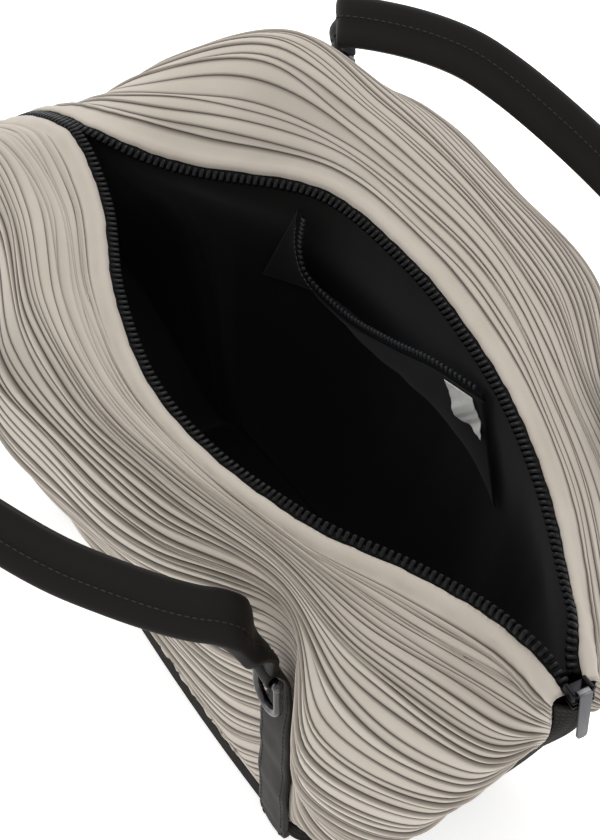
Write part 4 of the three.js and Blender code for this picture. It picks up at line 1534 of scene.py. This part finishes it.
        bm = bmesh.new()
        mapped_grid(bm, 20, 36, place, (self.label_width, self.label_length))
        look_away(bm, BEHIND_POCKET)
        obj = to_mesh(bm, "care_label_cloth")
        thicken(obj, self.label_wall)
        return dress(obj, LABEL.material(), "label_cloth", "bag", "care_label")


@dataclass
class OpenZip:
    """The two tapes and their moulded teeth."""

    form: BagForm
    pitch: float = 3.3
    tooth: tuple[float, float, float] = (2.1, 4.4, 2.6)   # along, across and high
    tooth_ease: float = 0.5
    meshed: float = 0.75        # how much further the teeth reach where the zip is shut
    last: float = 0.987         # share of the zip where tapes and teeth end, at the slider
    tape_wall: float = 0.8
    tape_under: float = 0.6     # how far the tape runs under the teeth
    pucker: float = 0.3
    cloth: tuple[float, float] = (520.0, 9.0)       # the flat tape

    def tape(self, side: Side) -> bpy.types.Object:
        """Makes one woven tape, slightly puckered along the cloth.

        Args:
            side: the long side.

        Returns:
            The piece.
        """
        form = self.form

        def place(share: np.ndarray, across: np.ndarray) -> Points:
            """The tape, from under the cloth's hem to under the teeth."""
            along = share * self.last
            inwards = form.cloth_wall * 0.2 + (form.tooth_start + self.tape_under) * across
            ripple = self.pucker * wander(along * 24, 1.0 + side.value) * np.sin(math.pi * across)
            return form.beside_zip(side, along, inwards, ripple)

        bm = bmesh.new()
        mapped_grid(bm, 320, 6, place, self.cloth)
        look_away(bm, INSIDE)
        obj = to_mesh(bm, f"zip_tape_{side.name.lower()}_cloth")
        thicken(obj, self.tape_wall, 0.0)
        return dress(obj, TAPE.material(), "zip_tape", "bag", f"zip_tape_{side.name.lower()}")

    def teeth(self, side: Side) -> bpy.types.Object:
        """Makes one row of teeth; the rows stand half a pitch apart, so that they mesh where shut.

        Args:
            side: the long side.

        Returns:
            The piece.
        """
        form = self.form
        share = np.linspace(0, self.last, 1600)
        shut = 1 - smooth(form.open_from - 0.06, form.open_from, share)
        reach = form.tooth_start + form.tooth_reach / 2 + 0.1 + self.meshed * shut
        path = form.beside_zip(side, share, reach, 0.0)
        _, lengthwise, _, up = form.zip_frame(side, share)
        far = travelled(path)
        first = self.pitch * (0.5 if side is Side.FRONT else 1.0)
        places = []
        for at in np.arange(first, far[-1] - 1.0, self.pitch):
            index = int(np.searchsorted(far, at))
            places.append(oriented(at_distance(path, far, at), lengthwise[index], up[index]))
        pattern = block_pattern("tooth", self.tooth, self.tooth_ease)
        bm = bmesh.new()
        repeated(bm, pattern, places)
        bpy.data.meshes.remove(pattern)
        name = side.name.lower()
        return dress(to_mesh(bm, f"zip_teeth_{name}_moulded"), TEETH.material(), "zip_teeth", "bag",
                     f"zip_teeth_{name}")


def joint_place(name: str) -> Points:
    """A joint's point, in millimetres."""
    found = next(j for j in frame["joints"] if j["name"] == name)
    return np.array(found["pos_m"], float) * METRE


@dataclass
class Slider:
    """The slider at the open end and the flat puller that hangs from it."""

    body_size: tuple[float, float, float] = (9.0, 10.0, 3.6)
    plate: float = 1.1
    wedge: float = 3.0
    nose: tuple[float, float] = (5.0, 9.0)     # length and width
    lug: tuple[float, float] = (1.8, 4.6)      # wall and height
    eye: float = 1.3
    eye_gap: float = 0.3
    blade: tuple[float, float, float] = (1.2, 5.4, 25.5)
    taper: float = 0.86         # share of the blade's width at its tip
    tip_round: float = 1.8
    rim: float = 0.15           # the rounding of the blade's rims

    def _block(self, bm: bmesh.types.BMesh, size: tuple[float, float, float], at: Points,
               ease: float) -> None:
        """Adds an eased block.

        Args:
            bm: the bmesh to add to.
            size: its sizes along X, Y and Z, in millimetres.
            at: its middle.
            ease: how far its edges are rounded.
        """
        made = bmesh.ops.create_cube(bm, size=1 / METRE)["verts"]
        bmesh.ops.scale(bm, vec=size, verts=made)
        bmesh.ops.translate(bm, vec=Vector(at) / METRE, verts=made)
        edges = list({e for v in made for e in v.link_edges})
        ease_edges(bm, edges, ease, 3)

    def body(self) -> bpy.types.Object:
        """Makes the slider: two plates with a wedge between them, two lugs and a rounded nose.

        Returns:
            The piece.
        """
        low, high = (Vector(c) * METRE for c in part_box("zip_slider"))
        length, width, thick = self.body_size
        wall, tall = self.lug
        x, y, _ = (low + high) / 2
        level = low.z + thick / 2
        lug_level = level + (thick + tall) / 2 - 0.4
        bm = bmesh.new()
        for sign in (-1, 1):
            plate_at = vec(x, y, level + sign * (thick - self.plate) / 2)
            self._block(bm, (length, width, self.plate), plate_at, 0.4)
            lug_at = vec(x + 0.6, y + sign * (width - wall) / 2, lug_level)
            self._block(bm, (length * 0.8, wall, tall), lug_at, 0.7)
        self._block(bm, (length * 0.5, self.wedge, thick - 1.0), vec(x + 1.8, y, level), 0.5)
        nose = bmesh.ops.create_uvsphere(bm, u_segments=20, v_segments=12, radius=0.5 / METRE)["verts"]
        bmesh.ops.scale(bm, vec=(*self.nose, thick - 0.1), verts=nose)
        bmesh.ops.translate(bm, vec=Vector((high.x - 2.6, y, level)) / METRE, verts=nose)
        obj = to_mesh(bm, "zip_slider_body")
        return dress(obj, PAINTED_ZINC.material(), "zip_teeth", "bag", "zip_slider")

    def puller(self) -> bpy.types.Object:
        """Makes the puller, a flat stamped blade with a rolled eye.

        Returns:
            The piece.
        """
        centre = joint_place("puller_swing")
        thick, width, length = self.blade
        offset = self.eye + self.eye_gap + thick / 2
        bm = bmesh.new()
        eye = bmesh.ops.create_cone(bm, cap_ends=True, segments=24, radius1=self.eye / METRE,
                                    radius2=self.eye / METRE, depth=width / METRE)["verts"]
        bmesh.ops.rotate(bm, cent=(0, 0, 0), matrix=Matrix.Rotation(math.pi / 2, 3, "X"), verts=eye)
        self._block(bm, (offset, width, thick), vec(offset / 2, 0, self.eye - thick / 2), 0.2)
        made = bmesh.ops.create_cube(bm, size=1 / METRE)["verts"]
        bmesh.ops.scale(bm, vec=(thick, width, length + self.eye), verts=made)
        bmesh.ops.translate(bm, vec=Vector((offset, 0, (self.eye - length) / 2)) / METRE, verts=made)
        tips = [v for v in made if v.co.z < 0]
        bmesh.ops.scale(bm, vec=(1, self.taper, 1), verts=tips)
        low_edges = {e for v in tips for e in v.link_edges if all(p.co.z < 0 for p in e.verts)}
        corners = [e for e in low_edges if abs(e.verts[0].co.x - e.verts[1].co.x) > thick / METRE / 2]
        ease_edges(bm, corners, self.tip_round, 5)
        sharp = 0.9     # radians between an edge's faces
        rims = [e for e in bm.edges if e.is_manifold and e.calc_face_angle() > sharp]
        ease_edges(bm, rims, self.rim, 2)
        bmesh.ops.translate(bm, vec=Vector(centre) / METRE, verts=bm.verts)
        obj = to_mesh(bm, "zip_puller_plate")
        return dress(obj, NICKEL.material(), "puller_steel", "puller", "zip_puller")


@dataclass
class Strap:
    """A run of cross-sections of a leather strap."""

    at: Points
    wide: Points
    out: Points
    width: np.ndarray
    thick: np.ndarray

    def refined(self, count: int) -> "Strap":
        """Adds sections smoothly between those that are there.

        Args:
            count: how many there are in all.

        Returns:
            The new strap.
        """
        share = np.linspace(0, 1, count)
        sizes = np.stack([self.width, self.thick, 0 * self.width], axis=1)
        eased = through(sizes, share)
        wide = unit(through(self.wide, share))
        out = through(self.out, share)
        out = unit(out - dot(out, wide) * wide)
        return Strap(through(self.at, share), wide, out, eased[:, 0], eased[:, 1])

    def offset(self, across: float, lift: float) -> Points:
        """A line on the strap: a share of half its width across, and a lift off its outer face."""
        rise = (self.thick / 2 + lift)[:, None]
        return self.at + self.wide * (across * self.width / 2)[:, None] + self.out * rise


@dataclass
class StrapWork:
    """Cuts the leather of one panel: two tabs with their curls, and the handle between them."""

    form: BagForm
    side: Side
    tab_width: float = 23
    tab_wall: float = 3.2
    tab_rise: float = 104
    tab_drop: float = 7
    tab_margin: float = 3.5     # how far beside the tab the pleats still lift it
    curl_width: float = 12.6
    curl_wall: float = 1.8
    handle_width: float = 23
    handle_wall: float = 7.4
    handle_end_width: float = 13
    handle_end_wall: float = 4.4
    handle_margin: float = 3
    handle_seat: float = 15     # length of the handle that one lift off the pleats looks at
    cover_depth: float = 20     # how far off a plane the pleats are still looked for
    shackle_width: float = 22
    shackle_height: float = 27
    wire: float = 4
    pin_end: float = 2.7
    pin_gap: float = 0.4
    pleat: float = 2.2
    crowding: float = 0.045
    stops: int = 12
    neck: float = 10            # length of the narrow end that rises from a tab's curl

    LEAVE = {   # the first stops past a tab's top: inwards, outwards and upwards in mm, and the lean
        Side.FRONT: (
            ((3, 7, 20), (0.85, -0.30, -0.35)),
            ((7, 15, 31), (0.66, -0.45, -0.60)),
            ((18, 38, 42), (0.50, -0.55, -0.66))),
        Side.BACK: (
            ((-3, 4, 62), (0.95, 0.20, 0.20)),),
    }
    STOPS = {   # the rest to the arch's middle: shares of the bag's sizes, and the lean
        Side.FRONT: (
            ((0.26, -1.40, 0.99), (0.30, -0.62, -0.68)),
            ((0.00, -1.72, 1.10), (0.00, -0.72, -0.69))),
        Side.BACK: (
            ((0.535, 0.98, 1.14), (0.85, 0.35, 0.35)),
            ((0.49, 1.10, 1.20), (0.50, 0.60, 0.62)),
            ((0.37, 1.46, 1.155), (0.42, 0.64, 0.64)),
            ((0.22, 1.68, 1.075), (0.25, 0.70, 0.66)),
            ((0.00, 1.82, 1.00), (0.00, 0.72, 0.69))),
    }

    def __post_init__(self) -> None:
        """Samples the solid panel's outer face, which the leather lies on."""
        rows, columns = 20, 25
        share = np.linspace(0, 1, columns + 1)
        share = share - self.crowding * np.sin(TURN * share)
        down, along = np.meshgrid(np.linspace(0, 1, rows + 1), share, indexing="ij")
        near = np.minimum.reduce([np.abs(along - p) for p in (0, *self.form.tab_places, 1)])
        odd = (np.arange(rows + 1) % 2)[:, None]
        rise = odd * self.pleat * (0.2 + 0.8 * smooth(0.03, 0.09, near))
        face = self.form.raised(self.side, along.ravel(), down.ravel(),
                                (self.form.cloth_wall / 2 + rise).ravel()).reshape(rows + 1, columns + 1, 3)
        lengths = [face[:, :-1] * (1 - t) + face[:, 1:] * t for t in np.linspace(0, 1, 7)]
        filled = np.concatenate(lengths, axis=1)
        halves = (filled[:-1] + filled[1:]) / 2
        self.cover = np.concatenate([filled.reshape(-1, 3), halves.reshape(-1, 3)])
        self.curl = self.wire / 2 + self.pin_gap + self.curl_wall / 2
        self.name = self.side.name.lower()
        self.facing = vec(0, self.side.value, 0)

    def cover_height(self, at: Points, wide: Points, up: Points, out: Points, half_width: float,
                     reach: float) -> float:
        """How far the cover stands out of a plane through a point.

        Args:
            at: the point.
            wide: the plane's direction across the strap.
            up: the plane's direction along the strap.
            out: the direction out of the plane.
            half_width: how far to look across the strap.
            reach: how far to look along it.

        Returns:
            Millimetres, or less than nothing where the cover lies behind the plane.
        """
        away = self.cover - at
        height = away @ out
        deep = self.cover_depth
        near = (np.abs(away @ wide) < half_width) & (np.abs(away @ up) < reach) & (np.abs(height) < deep)
        return float(height[near].max()) if near.any() else -float(deep)

    def climb(self, place: float) -> Points:
        """Steps evenly up the panel's middle surface.

        Args:
            place: the tab's share of the zip's length.

        Returns:
            Points from the foot to the tab's top.
        """
        down = np.linspace(1, 0.3, 700)
        path = self.form.surface(self.side, np.full_like(down, place), down)
        marks = np.arange(self.stops + 1) * self.tab_rise / self.stops
        return at_distance(path, travelled(path), marks)

    def tab(self, place: float, pin: Points) -> Strap:
        """Lays a tab's sections from its rounded foot to its curl round the pin.

        Args:
            place: the tab's share of the zip's length.
            pin: the pin's middle.

        Returns:
            The strap.
        """
        climb = self.climb(place)
        last = len(climb) - 1
        rows: list[tuple[Points, Points, Points, float, float]] = []
        for i, at in enumerate(climb):
            near = float(smooth(0.65, 1, i / last))
            width = self.tab_width + (self.curl_width - self.tab_width) * near
            thick = self.tab_wall + (self.curl_wall - self.tab_wall) * near
            up = unit(climb[min(i + 1, last)] - climb[max(i - 1, 0)])
            wide = unit(vec(1, 0, 0) - up[0] * up)
            out = unit(np.cross(up, wide) * self.side.value)
            lift = self.cover_height(at, wide, up, out, width / 2 + self.tab_margin,
                                     self.tab_rise / self.stops)
            rows.append((at + out * (lift + self.form.gap + thick / 2), wide, out, width, thick))
        foot_x = rows[0][0][0]
        marks = (foot_x + np.linspace(-0.5, 0.5, 5) * self.tab_width) / (self.form.base_length / 2)
        band = np.abs(self.form.base_edge(self.side, np.clip(marks, -1, 1), 0)[:, 1]).max()
        straight = 0.55     # share of the foot that keeps its width before it rounds off
        for share in (0.0, straight, 0.8, 0.95, 1.0):
            rounding = max(share - straight, 0) / (1 - straight)
            width = self.tab_width * math.sqrt(max(1 - rounding**2, 0.06))
            at = vec(foot_x, self.side.value * (band + self.form.gap + self.tab_wall / 2),
                     self.form.band_height - self.tab_drop * share)
            rows.insert(0, (at, vec(1, 0, 0), self.facing, width, self.tab_wall))
        for turn in np.linspace(0.12, 1.5, 9) * math.pi:
            spoke = -math.cos(turn) * self.facing + math.sin(turn) * vec(0, 0, 1)
            rows.append((pin + spoke * self.curl, vec(1, 0, 0), -spoke, self.curl_width, self.curl_wall))
        at, wide, out, width, thick = (np.array(c) for c in zip(*rows))
        return Strap(at, wide, out, width, thick)

    def ring_loop(self, strap: Strap, power: float = 0.5, sides: int = 20, seam: float = 0.0) -> Points:
        """Rings round a strap, with rounded edges.

        Args:
            strap: its sections.
            power: 1 for an oval section, less for a squarer one.
            sides: points in a ring.
            seam: depth of a groove down the middle of both faces, as a share of half the thickness.

        Returns:
            The rings' points.
        """
        turn = np.arange(sides) * TURN / sides
        x = np.sign(np.cos(turn)) * np.abs(np.cos(turn)) ** power
        y = np.sign(np.sin(turn)) * np.abs(np.sin(turn)) ** power
        y = y - seam * np.exp(-((x / 0.06) ** 2)) * np.sign(np.sin(turn))
        across = strap.wide[:, None, :] * (x[None, :] * strap.width[:, None] / 2)[..., None]
        out = strap.out[:, None, :] * (y[None, :] * strap.thick[:, None] / 2)[..., None]
        return strap.at[:, None, :] + across + out

    def build_tab(self, place: float, word: str, pin: Points) -> list[bpy.types.Object]:
        """Makes one tab and its two rows of stitches.

        Args:
            place: the tab's share of the zip's length.
            word: left or right.
            pin: the pin's middle.

        Returns:
            Both pieces.
        """
        strap = self.tab(place, pin).refined(110)
        bm = bmesh.new()
        tube(bm, self.ring_loop(strap, 0.28, 20))
        name = f"tab_{self.name}_{word}"
        made = dress(to_mesh(bm, f"{name}_leather"), LEATHER.material(), "leather", "bag", name)
        sewn = slice(6, 78)     # the sections that lie on the panel
        rows = [(strap.offset(edge, 0.05)[sewn], strap.out[sewn]) for edge in (-0.78, 0.78)]
        stitches = Stitching().build(f"{name}_stitches", rows, BLACK_THREAD, "leather")
        return [made, stitches]

    def handle(self, pins: Sequence[Points]) -> Strap:
        """Lays the handle's sections from one tab's top to the other's.

        Args:
            pins: the middles of the left and the right pin.

        Returns:
            The strap.
        """
        reach = vec(self.form.zip_reach, self.form.body_reach, self.form.height)
        path: list[Points] = []
        leans: list[Points] = []
        for pin, sign in zip(pins, (-1, 1)):
            flip = vec(sign, 1, 1)
            start = pin + vec(0, 0, self.curl + self.curl_wall / 2 + self.form.gap)
            half = [(start, vec(sign, 0, 0)), (start + vec(0, 0, self.neck), vec(sign, 0, 0))]
            for (inwards, outwards, upwards), lean in self.LEAVE[self.side]:
                by = vec(-sign * inwards, self.side.value * outwards, upwards)
                half.append((start + by, np.array(lean) * flip))
            for stop, lean in self.STOPS[self.side]:
                half.append((np.array(stop) * reach * flip, np.array(lean) * flip))
            if sign > 0:
                half = half[:-1][::-1]
            path += [p for p, _ in half]
            leans += [q for _, q in half]
        share = np.linspace(0, 1, 31)
        step = 0.003
        at = through(np.array(path), share)
        ahead = unit(through(np.array(path), np.minimum(share + step, 1))
                     - through(np.array(path), np.maximum(share - step, 0)))
        lean = through(np.array(leans), share)
        lean = unit(lean - dot(lean, ahead) * ahead)
        neck_end = 1 / (len(path) - 1)
        near = smooth(neck_end, neck_end + 0.05, np.minimum(share, 1 - share))
        width = self.handle_end_width + (self.handle_width - self.handle_end_width) * near
        thick = self.handle_end_wall + (self.handle_wall - self.handle_end_wall) * near
        for i in range(1, len(share) - 1):
            out = self.facing - self.facing @ ahead[i] * ahead[i]
            out = out - out @ lean[i] * lean[i]
            faced = float(smooth(0.5, 0.8, np.linalg.norm(out)))
            out = unit(out)
            lift = self.cover_height(at[i], lean[i], ahead[i], out, width[i] / 2 + self.handle_margin,
                                     self.handle_seat)
            at[i] += out * faced * max(lift + self.form.gap + thick[i] / 2, 0)
        face = unit(np.cross(ahead, lean))
        return Strap(at, lean, face, width, thick)

    def build_handle(self, pins: Sequence[Points]) -> list[bpy.types.Object]:
        """Makes the folded handle, its seam and its stitches.

        Args:
            pins: the middles of the left and the right pin.

        Returns:
            Both pieces.
        """
        strap = self.handle(pins).refined(240)
        strap = Strap(strap.at, strap.wide, -strap.out, strap.width, strap.thick)
        bm = bmesh.new()
        tube(bm, self.ring_loop(strap, 0.45, 40, 0.2))
        name = f"handle_{self.name}"
        made = dress(to_mesh(bm, f"{name}_leather"), LEATHER.material(), "leather", "bag", name)
        sewn = slice(4, -4)
        rows = []
        for flip in (1, -1):
            turned = Strap(strap.at, strap.wide, strap.out * flip, strap.width, strap.thick)
            rows.append((turned.offset(0.16, -0.1)[sewn], turned.out[sewn]))
        return [made, Stitching().build(f"{name}_stitches", rows, BLACK_THREAD, "leather")]

    def build_shackle(self, word: str, pin: Points) -> bpy.types.Object:
        """Makes the bow, hanging plumb from its pin, whose ends are rounded.

        Args:
            word: left or right.
            pin: the pin's middle.

        Returns:
            The piece.
        """
        half = self.shackle_width / 2 - self.wire / 2
        drop = self.shackle_height - self.wire - half
        legs = np.linspace(0, 1, 12)
        right = np.stack([half + 0 * legs, 0 * legs, -drop * legs], axis=1)
        turn = np.linspace(0, math.pi, 40)[1:]
        bow = np.stack([half * np.cos(turn), 0 * turn, -drop - half * np.sin(turn)], axis=1)
        left = np.stack([-half + 0 * legs, 0 * legs, -drop * (1 - legs)], axis=1)[1:]
        bm = bmesh.new()
        self._wire(bm, np.concatenate([right, bow, left]) + pin, self.wire / 2)
        span = np.linspace(-1, 1, 16)
        self._wire(bm, np.stack([half * span, 0 * span, 0 * span], axis=1) + pin, self.wire / 2 - 0.2)
        for sign in (-1, 1):
            bulb = bmesh.ops.create_uvsphere(bm, u_segments=20, v_segments=14, radius=self.pin_end / METRE)
            bmesh.ops.translate(bm, vec=Vector(pin + vec(sign * half, 0, 0)) / METRE, verts=bulb["verts"])
        name = f"shackle_{self.name}_{word}"
        return dress(to_mesh(bm, f"{name}_metal"), GUNMETAL.material(), "gunmetal",
                     f"ring_{self.name}_{word}", name)

    def _wire(self, bm: bmesh.types.BMesh, path: Points, radius: float, sides: int = 18) -> None:
        """Adds a round wire.

        Args:
            bm: the bmesh to add to.
            path: its middle, in a plane square to Y.
            radius: half its thickness, in millimetres.
            sides: points round it.
        """
        ahead = unit(np.gradient(path, axis=0))
        beside = np.tile(vec(0, 1, 0), (len(path), 1))
        normal = np.cross(ahead, beside)
        turn = (np.arange(sides) * TURN / sides)[None, :, None]
        spokes = beside[:, None, :] * np.cos(turn) + normal[:, None, :] * np.sin(turn)
        tube(bm, path[:, None, :] + radius * spokes)

    def build(self) -> None:
        """Makes the panel's tabs, shackles and handle."""
        pins = [joint_place(f"ring_{self.name}_{word}_swing") for word in ("left", "right")]
        for place, word, pin in zip(self.form.tab_places, ("left", "right"), pins):
            self.build_tab(place, word, pin)
            self.build_shackle(word, pin)
        self.build_handle(pins)


@dataclass
class Studio:
    """A pale seamless floor, soft lights and the camera."""

    azimuth: float = 61
    elevation: float = 47
    distance: float = 1270
    target: tuple[float, float, float] = (-18.86, 27.40, 100)
    focal_pixels: float = 2800
    picture_height: float = 840
    sensor: float = 36
    floor_size: float = 6       # metres
    floor_drop: float = 0.5

    def camera(self) -> None:
        """Places the camera as the photograph's stood."""
        data = bpy.data.cameras.new("camera")
        data.sensor_width = self.sensor
        data.lens = self.sensor * self.focal_pixels / self.picture_height
        data.clip_end = 20
        obj = bpy.data.objects.new("camera", data)
        bpy.context.scene.collection.objects.link(obj)
        turn, rise = math.radians(self.azimuth), math.radians(self.elevation)
        back = Vector((math.sin(turn) * math.cos(rise), -math.cos(turn) * math.cos(rise), math.sin(rise)))
        obj.location = (Vector(self.target) + back * self.distance) / METRE
        obj.rotation_mode = "QUATERNION"
        obj.rotation_quaternion = (-back).to_track_quat("-Z", "Y")
        bpy.context.scene.camera = obj

    def floor(self) -> None:
        """Lays the floor."""
        bm = bmesh.new()
        bmesh.ops.create_grid(bm, x_segments=2, y_segments=2, size=self.floor_size)
        bmesh.ops.translate(bm, vec=(0, 0, -self.floor_drop / METRE), verts=bm.verts)
        obj = to_mesh(bm, "studio_floor")
        made, tree = blank("white_paper_backdrop")
        close_shader(tree, Base_Color=(0.95, 0.95, 0.95, 1), Roughness=0.95, Emission_Color=(1, 1, 1, 1),
                     Emission_Strength=0.6)
        obj.data.materials.append(made)

    def _light(self, name: str, place: tuple[float, float, float], size: float, power: float) -> None:
        """Adds a soft square light that looks at the bag.

        Args:
            name: the light's name.
            place: where it stands, in metres.
            size: the length of its side, in metres.
            power: in watts.
        """
        data = bpy.data.lights.new(name, "AREA")
        data.size = size
        data.energy = power
        obj = bpy.data.objects.new(name, data)
        obj.location = place
        obj.rotation_mode = "QUATERNION"
        look = Vector((0, 0, 0.1)) - Vector(place)
        obj.rotation_quaternion = look.to_track_quat("-Z", "Y")
        bpy.context.scene.collection.objects.link(obj)

    def lights(self) -> None:
        """A broad key from above and behind, a low fill from the left and even surroundings."""
        self._light("key", (-0.8, 1.1, 1.9), 1.0, 19)
        self._light("fill", (-1.5, -1.7, 0.5), 1.4, 13)
        world = bpy.data.worlds.new("studio")
        world.use_nodes = True
        surroundings = world.node_tree.nodes["Background"].inputs
        surroundings["Color"].default_value = (1, 1, 1, 1)
        surroundings["Strength"].default_value = 0.75
        bpy.context.scene.world = world
        bpy.context.scene.view_settings.view_transform = "Standard"

    def build(self) -> None:
        """Sets the scene."""
        self.camera()
        self.floor()
        self.lights()


def main() -> None:
    """Builds the bag piece by piece."""
    logging.basicConfig(level=logging.INFO, format="%(message)s")
    form = BagForm()
    Studio().build()
    base = CanvasBase(form)
    base.floor()
    base.band()
    for end in End:
        EndGusset(form, end).build()
    PleatedPanel(form, Side.FRONT, depth=2.3, seed=1.0).build()
    PleatedPanel(form, Side.BACK, pleats=46, depth=1.5, seed=3.3).build()
    Lining(form).build()
    pocket = InnerPocket(form)
    for make in (pocket.cloth, pocket.zip_edge, pocket.teeth, pocket.stitches, pocket.label):
        make()
    mouth = OpenZip(form)
    for side in Side:
        mouth.tape(side)
        mouth.teeth(side)
    slider = Slider()
    slider.body()
    slider.puller()
    for side in Side:
        StrapWork(form, side).build()


if __name__ == "__main__":
    main()
